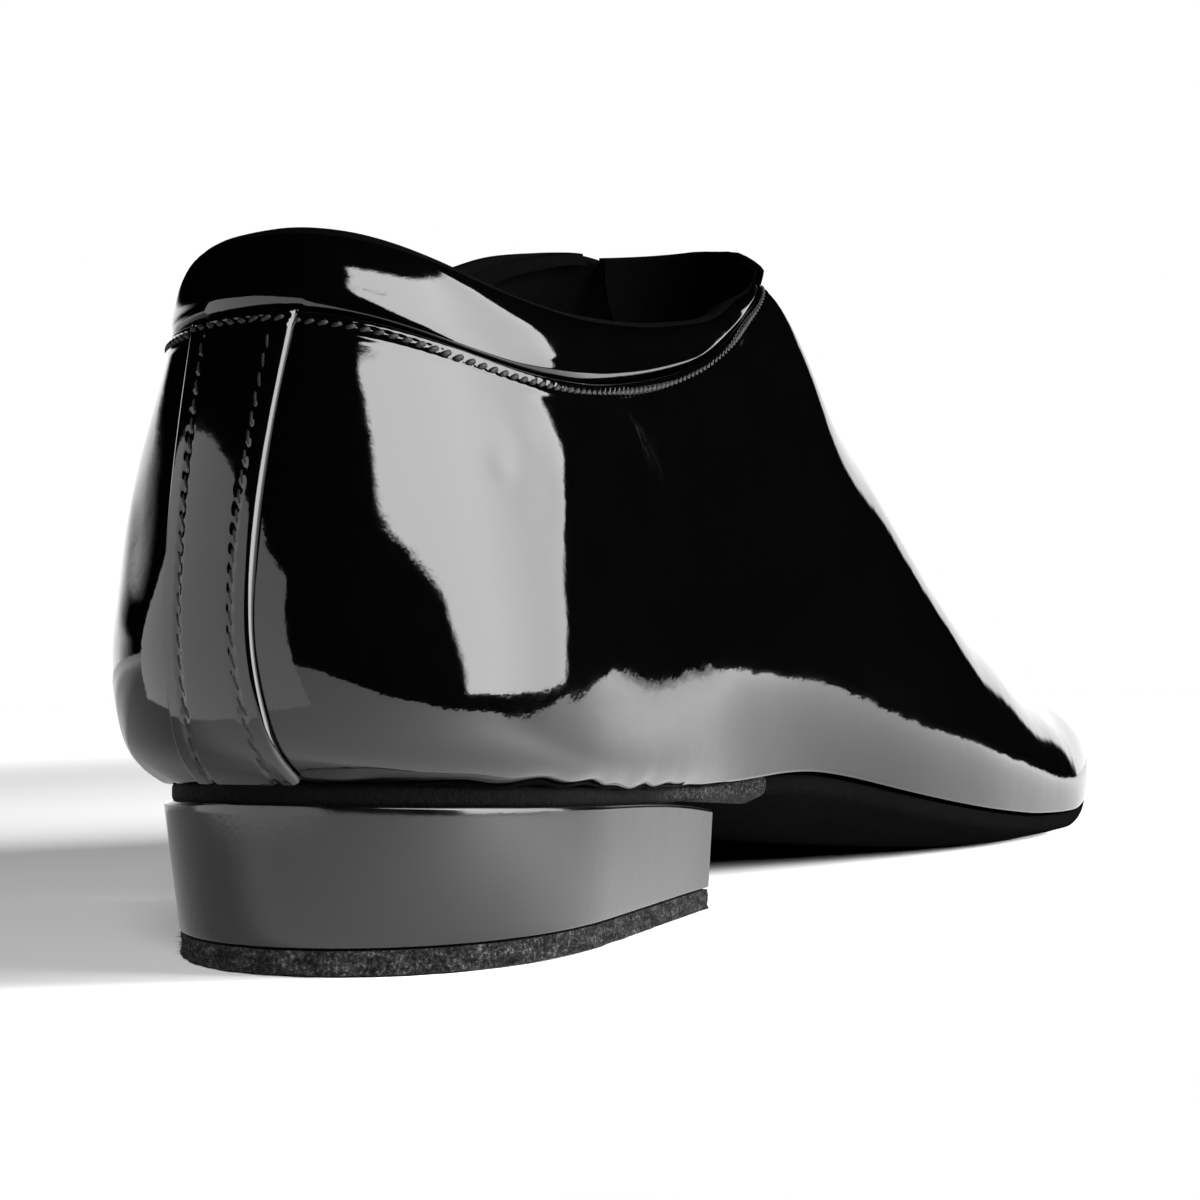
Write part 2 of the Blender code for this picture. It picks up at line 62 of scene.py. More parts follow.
# Last and sole, as the frame's own pieces have them: millimetres, and shares of the length or of the wall
LENGTH = 295.0
WALL = 1.8
GAP = 0.3
SOLE_THICKNESS = 3.4
SEAT_THICKNESS = 1.8
INSOLE_THICKNESS = 2.2
HEEL_LENGTH = 80.0
HEEL_TAPER = 1.8
HEEL_EDGE = 0.55
HEEL_FOOT = 0.25
HEEL_BREAST_EASE = 0.55
HEEL_MIDDLE = np.array((40.0, 0.5, 0.0))
TOP_PIECE_THICKNESS = 3.0
TOP_PIECE_INSET = 0.2
SOLE_INSET = 0.9
SOLE_CORNER = 0.9
SEAT_END = 0.2
SEAT_FILL = 0.6
SOLE_EDGE_END = 0.34
WAIST_START = 0.4
INSOLE_INSET = 3.0
INSOLE_CORNER = 0.6
LEVEL_WAIST = 0.35
LEVEL_BALL = 0.78
WAIST_END = 0.45
BALL_START = 0.70
HEEL_END = 0.135
HEEL_FULLNESS = 2.4
TOE_END = 0.27
TOE_FULLNESS = 2.3
TOE_CAP = 8
SEAT_ROLL = 1.5
SEAT_ROLL_RISE = 0.05
SEAT_ROLL_END = 0.36
CORNER = 0.43
THROAT_END = 0.558
COLLAR_LAP = 3.0
COLLAR_SET_BACK = 0.2
COLLAR_PAD = 5.0
COLLAR_PAD_FRONT = 2.0
COLLAR_SWELL = 1.4
COLLAR_SWELL_BACK = 0.95
COLLAR_STAND = 0.95
BACKSTAY_FOOT = 0.015
TONGUE_THICKNESS = 1.4
TONGUE_CORNER = 5.5
TONGUE_FLARE = 24.0
TONGUE_FLARE_IN = 0.42
TONGUE_FLARE_OUT = 0.22
TONGUE_CUT = 0.6
TONGUE_RISE = 1.1

# Sections along the shoe. at: share of the length. half, centre: plan of the feather line. sole: underside
# of the sole on the centre line. roll_in, roll_out: rise of the sole's inner and outer edge. belly,
# belly_rise: swell of the wall and its height share. shoulder, shoulder_rise: width and height share of the
# wall's upper turn.
SECTION_COLUMNS = (
    "at", "half", "centre", "sole", "roll_in", "roll_out", "belly", "belly_rise", "shoulder",
    "shoulder_rise")
SECTIONS = (
    (0.00, 31.5, 0.0, 21.4, 0.0, 0.0, 8.8, 0.30, 34.0, 0.70),
    (0.12, 30.4, 0.3, 19.2, 0.0, 0.0, 8.0, 0.30, 31.0, 0.70),
    (0.22, 28.6, 1.0, 17.3, 0.3, 0.2, 8.2, 0.32, 29.0, 0.72),
    (0.31, 28.5, 2.0, 13.6, 2.9, 1.0, 7.8, 0.36, 29.2, 0.80),
    (0.39, 31.2, 1.6, 8.8, 7.0, 1.8, 6.8, 0.42, 29.0, 0.91),
    (0.48, 36.6, 0.3, 4.6, 6.7, 1.5, 5.9, 0.48, 28.8, 0.98),
    (0.58, 42.8, -0.2, 1.4, 4.8, 0.8, 5.6, 0.52, 27.0, 1.00),
    (0.68, 45.2, -1.2, 0.0, 2.8, 0.4, 4.9, 0.52, 26.0, 1.00),
    (0.80, 45.3, -3.7, 0.3, 1.8, 0.6, 3.2, 0.52, 29.0, 1.00),
    (0.90, 44.8, -6.3, 5.0, 3.2, 1.6, 2.9, 0.55, 32.0, 1.00),
    (1.00, 45.0, -8.0, 14.6, 0.0, 0.0, 3.9, 0.50, 34.0, 0.93),
)

# Top line from the back to the corner, then the throat's edge: half width and height of each side
TOP_COLUMNS = ("at", "half_in", "z_in", "half_out", "z_out")
TOP_LINE = (
    (0.000, 25.8, 93.6, 25.8, 93.6),
    (0.055, 24.6, 88.4, 28.4, 94.4),
    (0.110, 24.4, 86.8, 28.2, 94.0),
    (0.185, 24.6, 88.2, 25.8, 97.4),
    (0.255, 25.4, 91.0, 26.4, 103.0),
    (0.310, 25.4, 95.4, 26.8, 108.8),
    (0.365, 22.5, 101.0, 25.0, 113.6),
    (0.405, 19.4, 105.2, 21.8, 116.0),
    (0.430, 16.2, 107.0, 18.4, 116.8),
    (0.450, 13.2, 103.0, 16.2, 116.0),
    (0.475, 9.0, 97.2, 12.2, 112.6),
    (0.505, 5.6, 91.2, 7.4, 102.0),
    (0.530, 2.5, 86.0, 3.2, 89.2),
    (0.558, 0.0, 80.0, 0.0, 80.0),
)

# Ridge of the instep from the foot of the throat to the toe
RIDGE_COLUMNS = ("at", "z")
RIDGE = (
    (0.53, 86.0), (0.558, 80.0), (0.58, 75.6), (0.63, 65.4), (0.68, 56.4), (0.74, 47.6), (0.80, 40.8),
    (0.90, 34.6), (1.00, 32.4),
)

# Back and toe in side view: how far the wall stands forward of the heel seat or of the toe, up the wall
BACK_COLUMNS = ("rise", "forward")
BACK = (
    (0.0, 0.0), (0.05, -3.8), (0.12, -6.2), (0.25, -7.6), (0.4, -6.0), (0.6, -2.6), (0.8, 0.6), (1.0, 3.6),
)
TOE = ((0.0, 0.0), (0.2, 0.6), (0.45, -2.8), (0.7, -9.0), (0.88, -17.5), (1.0, -25.0))

# Height of the collar band below the top line
COLLAR_COLUMNS = ("at", "height")
COLLAR = (
    (0.0, 11.4), (0.055, 11.8), (0.11, 11.2), (0.185, 9.6), (0.265, 7.0), (0.32, 4.9), (0.365, 2.6),
    (0.43, 0.0),
)

# Backstay up the wall: half width, and its middle towards the outer side
BACKSTAY_COLUMNS = ("rise", "half", "middle")
BACKSTAY = ((0.0, 7.6, 0.0), (0.3, 6.6, 0.4), (0.6, 7.0, 1.9), (1.0, 8.2, 1.8))

# Tongue from its foot under the vamp to its free edge: place of its middle, half width, and how far its
# edges fall down and back
TONGUE_COLUMNS = ("x", "y", "z", "half", "down", "back")
TONGUE = (
    (184.0, -1.0, 61.6, 9.0, 2.4, 0.0),
    (172.0, -0.6, 70.8, 11.0, 3.2, 0.0),
    (160.0, -0.2, 79.4, 12.0, 3.6, 0.0),
    (151.0, 0.2, 86.2, 12.2, 3.6, 0.6),
    (145.0, 0.6, 92.2, 12.0, 3.6, 3.0),
    (141.5, 1.6, 99.6, 12.4, 3.0, 8.5),
    (139.5, 1.6, 108.0, 14.0, 1.6, 8.5),
    (138.5, 1.6, 115.8, 13.4, 1.8, 6.6),
)

INNER, OUTER = -1.0, 1.0

# Mesh density: spacing along the folded edge in millimetres, then counts of steps
EDGE_SPACING = 0.42
TOE_STATIONS = 96
BAND_ROWS = 15
WALL_ROWS = 44
LINING_STATIONS = 110
LINING_ROWS = 26
SOLE_STATIONS = 200
SOLE_COLUMNS = 36
SOLE_EDGE_COLUMNS = 6
HEEL_STATIONS = 90
HEEL_LEVELS = 18
TOP_PIECE_LEVELS = 11
COLLAR_SPACING = 1.0
COLLAR_STEPS = 4
BACKSTAY_ROWS = 150
BACKSTAY_COLS = 52
STITCH_RINGS = 9
STITCH_AROUND = 8
TONGUE_ROWS = 72
TONGUE_COLS = 40
PANEL_COLS = 121
PANEL_ROWS = 81
CARD_STEPS = 41

# Distance in metres at which points of a piece are welded
WELD = 0.000004

# Folded edge, stitch rows and leather, in millimetres
BAND_DEPTH = 5.4
GROOVE_HALF = 0.5
HOLE_SHARE = 0.35
LASTING_MARGIN = 5.0
RIPPLE_SEED = 11

# Turns of the upper's folded edge from its inner face to its outer one, in degrees, and how many of them
# are lined
FOLD = (180, 150, 120, 90, 65, 42, 20)
FOLD_LINED = 3

# The leather lies calmer low on the wall: share of its waves at the foot, and where they grow
CALM = 0.45
CALM_RISE = (0.12, 0.4)

# Uneven lasted edge round the heel: length and height of its waves, how far up they reach, where they end
LASTED_WAVE = 9.0
LASTED_HEIGHT = 0.16
LASTED_RISE = 0.09
LASTED_END = (0.14, 0.3)

# Depths of the lining's two faces, in shares of the upper's wall
LINING_DEPTHS = (0.52, 1.0)

# Step round the collar's section where its soft lining starts, just outside the crown
LINING_FROM = 25

# Stitches: visible length in shares of the pitch, slant in degrees, and how deep they sink in the groove
EDGE_STITCH = 0.92
EDGE_SLANT = 30
STAY_STITCH = 0.84
STAY_SLANT = 14
STAY_THREAD = 0.58
STITCH_SUNK = 0.75

# Clearance of the backstay off the upper
STAY_CLEAR = 0.04

# Torn threads of the top piece: count, half width in millimetres, and seed
STRANDS = 1500
STRAND_HALF = 0.035
STRAND_SEED = 5

# Lacquer: depth of its peel in metres, and how much its smears roughen it
PEEL = 0.00002
STAY_PEEL = 0.000012
HAZE = 0.1

# Place along the sole's edge, in metres, where its ink is worn through, and how far before and past it
INK_END = -0.079
INK_BEFORE = 0.012
INK_PAST = 0.008

# Grey levels of speckled fibre
FIBRE_STOPS = ((0.42, 0.0), (0.55, 0.16), (0.68, 1.0))

BLACK = (0.0, 0.0, 0.0, 1.0)
WHITE = (1.0, 1.0, 1.0, 1.0)

# Small puckers in the near quarter: place along and up, reach and depth, in mm
PUCKERS = ((14.6, 62.4, 1.7, 0.42), (18.4, 58.4, 2.8, 0.36), (18.0, 66.0, 2.8, -0.26))

# Slight fullness of the wall behind the waist: height in mm, place and reach in shares of the length
WAIST_FULL = 0.9
WAIST_FULL_AT = 0.345
WAIST_FULL_REACH = 0.085
WAIST_FULL_RISE = (0.1, 0.5)

# Studio, in metres: middle of the curved panels, their limits round it and up in degrees, and their radius;
# corners, top bow and glow from foot to top of the card behind the heel
PANEL_CENTRE = np.array((-0.10, -0.02, 0.045))
WINDOW_TURNS = (-154, -36)
WINDOW_RISES = (-34, 58)
WINDOW_RADIUS = 1.4
BACKDROP_TURNS = (-10, 96)
BACKDROP_RISES = (-20, 26)
BACKDROP_RADIUS = 3.0
PANEL_SOFT = 2.0
CARD_FEET = ((-0.214, -0.014, 0.0), (-0.170, 0.168, 0.0))
CARD_TOPS = ((-0.217, 0.005, 0.082), (-0.180, 0.130, 0.116))
CARD_BOW = 0.006
CARD_GLOW = (2.05, 1.7)

# Floor: reach, depth below the shoe, knee past which its near edge turns in, slope there, and width of the
# black strip beyond that edge: painted shade, unseen by the camera, for the edge's shaded side in
# reflections
FLOOR_REACH = 4.0
FLOOR_DROP = 0.0002
FLOOR_KNEE = 0.15
FLOOR_BEND = 0.3
EDGE_SHADE_WIDTH = 0.038

# Distances over which the floor fades out, and over which it glows white towards the back, measured from a
# middle point; that glow is painted light, keeping the far floor white where the floor's lamps fall off
FLOOR_FADE = (1.8, 3.0)
FLOOR_GLOW_RANGE = (0.68, 1.15)
FLOOR_GLOW_MIDDLE = (0.0, -0.3, 0.0)

# Lights of the floor alone: name, place, aim, size and power
FLOOR_LIGHTS = (
    ("floor_key", (0.55, -1.06, 0.29), (0.0, 0.0, 0.0), 0.42, 80.0),
    ("floor_fill", (-0.9, -0.25, 0.75), (-0.1, 0.0, 0.0), 0.7, 11.5),
    ("floor_spot", (-0.12, -0.105, 0.065), (-0.12, -0.075, 0.0), 0.03, 0.17),
)


class ShoeSizes(bpy.types.PropertyGroup):
    """Sizes of the dressed shoe that a user would change."""
    stitch_pitch: bpy.props.FloatProperty(
        name="Edge pitch", description="Length of one stitch below the folded edge", default=0.00175,
        unit="LENGTH", precision=5)
    stay_pitch: bpy.props.FloatProperty(
        name="Backstay pitch", description="Length of one stitch along the backstay", default=0.0025,
        unit="LENGTH", precision=5)
    stitch_drop: bpy.props.FloatProperty(
        name="Stitch row", description="Distance of the stitch row from the folded edge", default=0.0016,
        unit="LENGTH", precision=4)
    stitch_inset: bpy.props.FloatProperty(
        name="Backstay row", description="Distance of the backstay's stitch rows from its edges",
        default=0.0027, unit="LENGTH", precision=4)
    groove: bpy.props.FloatProperty(
        name="Stitch groove", description="Depth that the thread pulls the leather in", default=0.00024,
        unit="LENGTH", precision=5)
    thread: bpy.props.FloatProperty(
        name="Thread", description="Thickness of the sewing thread", default=0.00072, unit="LENGTH",
        precision=5)
    ripple: bpy.props.FloatProperty(
        name="Unevenness", description="Height of the soft waves of lasted leather", default=0.00015,
        unit="LENGTH", precision=6)
    ripple_length: bpy.props.FloatProperty(
        name="Wave length", description="Length of the soft waves of lasted leather", default=0.026,
        unit="LENGTH", precision=4)
    backstay: bpy.props.FloatProperty(
        name="Backstay", description="How far the backstay stands out from the upper", default=0.0010,
        unit="LENGTH", precision=4)
    backstay_edge: bpy.props.FloatProperty(
        name="Backstay edge", description="Width over which the backstay's edge turns down", default=0.0009,
        unit="LENGTH", precision=4)


class ShoeColours(bpy.types.PropertyGroup):
    """Colours of the finishes."""
    patent: bpy.props.FloatVectorProperty(
        name="Patent", description="Lacquered leather", default=(0.0004, 0.0004, 0.0004), subtype="COLOR")
    suede: bpy.props.FloatVectorProperty(
        name="Suede", description="Napped underside of the sole", default=(0.0025, 0.0025, 0.0025),
        subtype="COLOR")
    fibre: bpy.props.FloatVectorProperty(
        name="Top piece", description="Pressed fibre under the heel", default=(0.016, 0.016, 0.016),
        subtype="COLOR")
    lining: bpy.props.FloatVectorProperty(
        name="Lining", description="Soft leather inside", default=(0.0007, 0.0007, 0.0007), subtype="COLOR")
    thread: bpy.props.FloatVectorProperty(
        name="Thread", description="Sewing thread", default=(0.002, 0.002, 0.002), subtype="COLOR")


class StudioSettings(bpy.types.PropertyGroup):
    """Camera, floor and lights."""
    place: bpy.props.FloatVectorProperty(
        name="Camera", description="Place of the camera", default=(-0.3277, -0.1404, 0.0358),
        subtype="TRANSLATION", unit="LENGTH")
    turn: bpy.props.FloatProperty(
        name="Turn", description="Heading of the view from the shoe's long axis",
        default=math.radians(27.0), subtype="ANGLE")
    rise: bpy.props.FloatProperty(
        name="Rise", description="Upward tilt of the view", default=math.radians(2.4), subtype="ANGLE")
    roll: bpy.props.FloatProperty(
        name="Roll", description="Roll of the view", default=math.radians(-0.9), subtype="ANGLE")
    lens: bpy.props.FloatProperty(
        name="Lens", description="Focal length on a 36 mm wide sensor", default=55.74, unit="CAMERA")
    floor_edge: bpy.props.FloatProperty(
        name="Floor edge", description="Distance of the floor's near edge from the shoe's middle",
        default=0.172, unit="LENGTH")
    floor_turn: bpy.props.FloatProperty(
        name="Floor turn", description="Heading of the floor's near edge", default=math.radians(-29.2),
        subtype="ANGLE")
    floor_colour: bpy.props.FloatVectorProperty(
        name="Floor", description="Pale floor", default=(0.8, 0.8, 0.8), subtype="COLOR")


def spline(xs, ys):
    """Natural cubic spline through the points, as a function of an array."""
    xs = np.asarray(xs, float)
    ys = np.asarray(ys, float)
    count = len(xs)
    step = np.diff(xs)
    matrix = np.eye(count)
    right = np.zeros(count)
    for i in range(1, count - 1):
        matrix[i, i - 1:i + 2] = (step[i - 1], 2 * (step[i - 1] + step[i]), step[i])
        right[i] = 6 * ((ys[i + 1] - ys[i]) / step[i] - (ys[i] - ys[i - 1]) / step[i - 1])
    bend = np.linalg.solve(matrix, right)

    def value(x):
        x = np.asarray(x, float)
        k = np.clip(np.searchsorted(xs, x) - 1, 0, count - 2)
        h = step[k]
        a = (xs[k + 1] - x) / h
        b = (x - xs[k]) / h
        curve = (a ** 3 - a) * bend[k] + (b ** 3 - b) * bend[k + 1]
        return a * ys[k] + b * ys[k + 1] + curve * h * h / 6

    return value


def columns(names, rows):
    """One spline for each named column of a table, over its first column."""
    table = np.array(rows)
    return {name: spline(table[:, 0], table[:, i]) for i, name in enumerate(names)}


SECTION = columns(SECTION_COLUMNS, SECTIONS)
TOP = columns(TOP_COLUMNS, TOP_LINE)
RIDGE_Z = columns(RIDGE_COLUMNS, RIDGE)["z"]
BACK_X = columns(BACK_COLUMNS, BACK)["forward"]
TOE_X = columns(BACK_COLUMNS, TOE)["forward"]
COLLAR_HEIGHT = columns(COLLAR_COLUMNS, COLLAR)["height"]
STAY = columns(BACKSTAY_COLUMNS, BACKSTAY)


def share(s):
    """Share of the length for an even station s, close together at the round ends."""
    return (1 - np.cos(np.pi * np.asarray(s, float))) / 2


def station(at):
    """Even station for a share of the length."""
    return np.arccos(1 - 2 * np.asarray(at, float)) / np.pi


def end_round(at):
    """Width factor that rounds the plan at the heel and at the toe."""
    heel = np.clip((HEEL_END - at) / HEEL_END, 0, 1) ** HEEL_FULLNESS
    toe = np.clip((at - 1 + TOE_END) / TOE_END, 0, 1) ** TOE_FULLNESS
    return np.sqrt(np.clip(1 - heel - toe, 0, 1))


def ease(x, start, end):
    """Smooth step from 0 at start to 1 at end."""
    part = np.clip((x - start) / (end - start), 0, 1)
    return part * part * (3 - 2 * part)


def bezier(t, a, b, c, d):
    """Cubic with the four control values."""
    u = 1 - t
    return u ** 3 * a + 3 * t * u * u * b + 3 * t * t * u * c + t ** 3 * d


def sole_under(at, across):
    """Height of the sole's underside, across from -1 at the inner edge to 1 at the outer edge."""
    level = LEVEL_WAIST + (LEVEL_BALL - LEVEL_WAIST) * ease(at, WAIST_END, BALL_START)
    lift = np.clip((np.abs(across) - level) / (1 - level), 0, 1) ** 2
    roll = np.where(across < 0, SECTION["roll_in"](at), SECTION["roll_out"](at))
    flat = np.maximum(SECTION["sole"](at), 0.0)
    return flat + np.maximum(roll, 0.0) * lift


def sole_thickness(at):
    """Thickness of the sole, pared down under the heel seat."""
    return SEAT_THICKNESS + (SOLE_THICKNESS - SEAT_THICKNESS) * ease(at, SEAT_END, WAIST_START)


def top_edge(at, side):
    """Half width and height of the upper's highest edge: top line, throat edge, then the ridge."""
    suffix = "_in" if side == INNER else "_out"
    open_part = np.minimum(at, THROAT_END)
    half = np.where(at < THROAT_END, np.maximum(TOP["half" + suffix](open_part), 0.0), 0.0)
    z = np.where(at < THROAT_END, TOP["z" + suffix](open_part), RIDGE_Z(np.maximum(at, THROAT_END)))
    return half, z


def section_z(at, t, side):
    """Height on the wall's section curve at t, from 0 at the feather line to 1 at the highest edge."""
    low = sole_under(at, np.full_like(at, side)) + sole_thickness(at) + GAP
    high = top_edge(at, side)[1]
    belly = low + (high - low) * SECTION["belly_rise"](at)
    shoulder = low + (high - low) * np.minimum(SECTION["shoulder_rise"](at), 1.0)
    return bezier(t, low, belly, shoulder, high)


def seat_roll(at, t):
    """Swell of the wall just above the heel seat."""
    rise = t / SEAT_ROLL_RISE
    return SEAT_ROLL * rise * np.exp(1 - rise) * (1 - ease(at, SEAT_END, SEAT_ROLL_END))


def wall(s, t, side):
    """Points of the upper's outer surface."""
    s, t = np.broadcast_arrays(np.asarray(s, float), np.asarray(t, float))
    at = share(s)
    half = SECTION["half"](at)
    width = bezier(t, half, half + SECTION["belly"](at), SECTION["shoulder"](at), top_edge(at, side)[0])
    x = LENGTH * at + BACK_X(t) * (1 - at) + TOE_X(t) * at ** TOE_CAP
    y = SECTION["centre"](at) + side * (width + seat_roll(at, t)) * end_round(at)
    return np.stack([x, y, section_z(at, t, side)], -1)


def wall_normal(s, t, side):
    """Outward unit normals of the upper's outer surface."""
    s, t = np.broadcast_arrays(np.asarray(s, float), np.asarray(t, float))
    step = 1e-4
    s0 = np.maximum(s - step, 0)
    s1 = np.minimum(s + step, 1)
    t0 = np.maximum(t - step, 0)
    t1 = np.minimum(t + step, 1)
    along = (wall(s1, t, side) - wall(s0, t, side)) / (s1 - s0)[..., None]
    up = (wall(s, t1, side) - wall(s, t0, side)) / (t1 - t0)[..., None]
    normal = np.cross(along, up) * -side
    return normal / np.maximum(np.linalg.norm(normal, axis=-1, keepdims=True), 1e-9)


def wall_offset(s, t, side, out):
    """Points at a distance out from the upper's outer surface."""
    return wall(s, t, side) + wall_normal(s, t, side) * np.asarray(out, float)[..., None]


def seam_t(s, side):
    """Place up the wall of the folded edge under the collar band, found by halving."""
    at = share(s)
    goal = top_edge(at, side)[1] - np.maximum(COLLAR_HEIGHT(np.minimum(at, CORNER)), 0.0)
    low = np.full_like(at, 0.4)
    high = np.ones_like(at)
    for _ in range(40):
        middle = (low + high) / 2
        below = section_z(at, middle, side) < goal
        low = np.where(below, middle, low)
        high = np.where(below, high, middle)
    return np.where(at < CORNER, (low + high) / 2, 1.0)


def rate_up(s, t, side):
    """Millimetres of wall for one unit of t, just below t."""
    step = 0.02
    return np.linalg.norm(wall(s, t, side) - wall(s, t - step, side), axis=-1) / step


def lengths(curve):
    """Length along a line of points, from its first point."""
    steps = np.linalg.norm(np.diff(curve, axis=0), axis=1)
    return np.concatenate([[0.0], np.cumsum(steps)])


def edge_stations(spacing):
    """Stations evenly spaced along the folded edge to the foot of the throat."""
    fine = np.linspace(0, station(THROAT_END), 1500)
    run = lengths(wall(fine, seam_t(fine, INNER), INNER))
    even = np.linspace(0, run[-1], int(run[-1] / spacing) + 1)
    return np.interp(even, run, fine)


def ripple(points, length, height, seed=RIPPLE_SEED):
    """Soft unevenness of lasted leather: a few long waves in seeded random directions."""
    draw = np.random.default_rng(seed)
    waves = 9
    total = np.zeros(points.shape[:-1])
    for _ in range(waves):
        way = draw.normal(size=3)
        way = way / np.linalg.norm(way) * 2 * np.pi / (length * draw.uniform(0.7, 1.5))
        total = total + np.sin(points @ way + draw.uniform(0, 2 * np.pi))
    return total * height * math.sqrt(2 / waves)


def stitch_dent(along, place, pitch, depth):
    """Dent of a stitch row in leather: a shallow groove, deeper at the needle holes."""
    holes = 1 - HOLE_SHARE + HOLE_SHARE * np.cos(2 * np.pi * along / pitch)
    lips = 0.3 * np.exp(-((np.abs(place) - 2.1 * GROOVE_HALF) / GROOVE_HALF) ** 2)
    return depth * (lips - np.exp(-(place / GROOVE_HALF) ** 2) * holes)


def grid_faces(rows, cols, wrap=False):
    """Quads of a grid of points numbered row by row; wrap joins the last column to the first."""
    i, j = np.meshgrid(np.arange(rows - 1), np.arange(cols if wrap else cols - 1), indexing="ij")
    a = i * cols + j
    b = i * cols + (j + 1) % cols
    return np.stack([a, b, b + cols, a + cols], -1).reshape(-1, 4)


def border(rows, cols):
    """Point numbers round the edge of a grid."""
    edge = list(range(cols))
    edge += [i * cols + cols - 1 for i in range(1, rows)]
    edge += [(rows - 1) * cols + j for j in range(cols - 2, -1, -1)]
    edge += [i * cols for i in range(rows - 2, 0, -1)]
    return edge


def shell(outside, inside):
    """Points and faces of a closed sheet between two grids of the same size."""
    rows, cols = outside.shape[:2]
    size = rows * cols
    points = np.concatenate([outside.reshape(-1, 3), inside.reshape(-1, 3)])
    faces = grid_faces(rows, cols)
    edge = np.array(border(rows, cols))
    after = np.roll(edge, -1)
    rim = np.stack([after, edge, edge + size, after + size], -1)
    return points, np.concatenate([faces, faces[:, ::-1] + size, rim])


def tube(sections):
    """Points and faces of a closed body through closed section loops, with flat ends."""
    rows, cols = sections.shape[:2]
    faces = grid_faces(rows, cols, wrap=True).tolist()
    faces.append(list(range(cols)))
    faces.append(list(range(rows * cols - 1, (rows - 1) * cols - 1, -1)))
    return sections.reshape(-1, 3), faces


def unit(vectors):
    """Vectors of length 1."""
    return vectors / np.maximum(np.linalg.norm(vectors, axis=-1, keepdims=True), 1e-9)


def smooth_loop(points, steps):
    """Closed centripetal curve through the points of each row, with steps points for each span."""
    points = np.asarray(points, float)
    before, after, last = np.roll(points, 1, -2), np.roll(points, -1, -2), np.roll(points, -2, -2)

    def knot(a, b):
        return np.maximum(np.linalg.norm(b - a, axis=-1, keepdims=True), 1e-6) ** 0.5

    t1 = knot(before, points)
    t2 = t1 + knot(points, after)
    t3 = t2 + knot(after, last)
    made = []
    for k in range(steps):
        t = t1 + (t2 - t1) * k / steps
        a1 = (t1 - t) / t1 * before + t / t1 * points
        a2 = (t2 - t) / (t2 - t1) * points + (t - t1) / (t2 - t1) * after
        a3 = (t3 - t) / (t3 - t2) * after + (t - t2) / (t3 - t2) * last
        b1 = (t2 - t) / t2 * a1 + t / t2 * a2
        b2 = (t3 - t) / (t3 - t1) * a2 + (t - t1) / (t3 - t1) * a3
        made.append((t2 - t) / (t2 - t1) * b1 + (t - t1) / (t2 - t1) * b2)
    joined = np.stack(made, -2)
    return joined.reshape(*points.shape[:-2], -1, 3)


def new_piece(name, points, faces, finishes, stands_for=(), face_finish=None, sharp=0.9):
    """Piece from points in millimetres and faces, welded, facing out, riding on the shoe's body."""
    mesh = bpy.data.meshes.new(name)
    faces = [tuple(face) for face in (faces.tolist() if isinstance(faces, np.ndarray) else faces)]
    mesh.from_pydata(((np.asarray(points) + ORIGIN) * MM).tolist(), [], faces)
    for finish in finishes:
        mesh.materials.append(finish)
    if face_finish is not None:
        mesh.polygons.foreach_set("material_index", np.asarray(face_finish, np.int32))
    body = bmesh.new()
    body.from_mesh(mesh)
    bmesh.ops.remove_doubles(body, verts=body.verts, dist=WELD)
    bmesh.ops.dissolve_degenerate(body, edges=body.edges, dist=WELD)
    bmesh.ops.recalc_face_normals(body, faces=body.faces)
    if body.calc_volume(signed=True) < 0:
        bmesh.ops.reverse_faces(body, faces=body.faces)
    body.to_mesh(mesh)
    body.free()
    mesh.shade_smooth()
    mesh.set_sharp_from_angle(angle=sharp)
    made = bpy.data.objects.new(name, mesh)
    bpy.context.scene.collection.objects.link(made)
    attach(made, BODY)
    if stands_for:
        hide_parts(*stands_for)
    return made


def feed(tree, socket, value):
    """Links a value to a socket, or sets it there."""
    if isinstance(value, Value):
        tree.links.new(value.socket, socket)
    else:
        socket.default_value = value


class Value:
    """A shader socket. Python's operators on it add Math nodes."""

    def __init__(self, tree, socket):
        self.tree = tree
        self.socket = socket

    def math(self, operation, *others):
        """Value of a Math node on sockets and numbers."""
        node = self.tree.nodes.new("ShaderNodeMath")
        node.operation = operation
        for socket, value in zip(node.inputs, others):
            feed(self.tree, socket, value)
        return Value(self.tree, node.outputs[0])

    def __add__(self, other):
        return self.math("ADD", self, other)

    def __sub__(self, other):
        return self.math("SUBTRACT", self, other)

    def __mul__(self, other):
        return self.math("MULTIPLY", self, other)

    def __radd__(self, other):
        return self.math("ADD", other, self)

    def __rsub__(self, other):
        return self.math("SUBTRACT", other, self)

    def __rmul__(self, other):
        return self.math("MULTIPLY", other, self)


class Nodes:
    """The nodes of one tree."""

    def __init__(self, tree):
        self.tree = tree

    def node(self, kind, settings=None, sockets=None, output=0):
        """New node of a kind: its settings first, then the values or links of its sockets."""
        made = self.tree.nodes.new(kind)
        for key, value in (settings or {}).items():
            if key == "stops":
                set_stops(made.color_ramp, value)
            else:
                setattr(made, key, value)
        for key, value in (sockets or {}).items():
            feed(self.tree, made.inputs[key], value)
        return Value(self.tree, made.outputs[output])


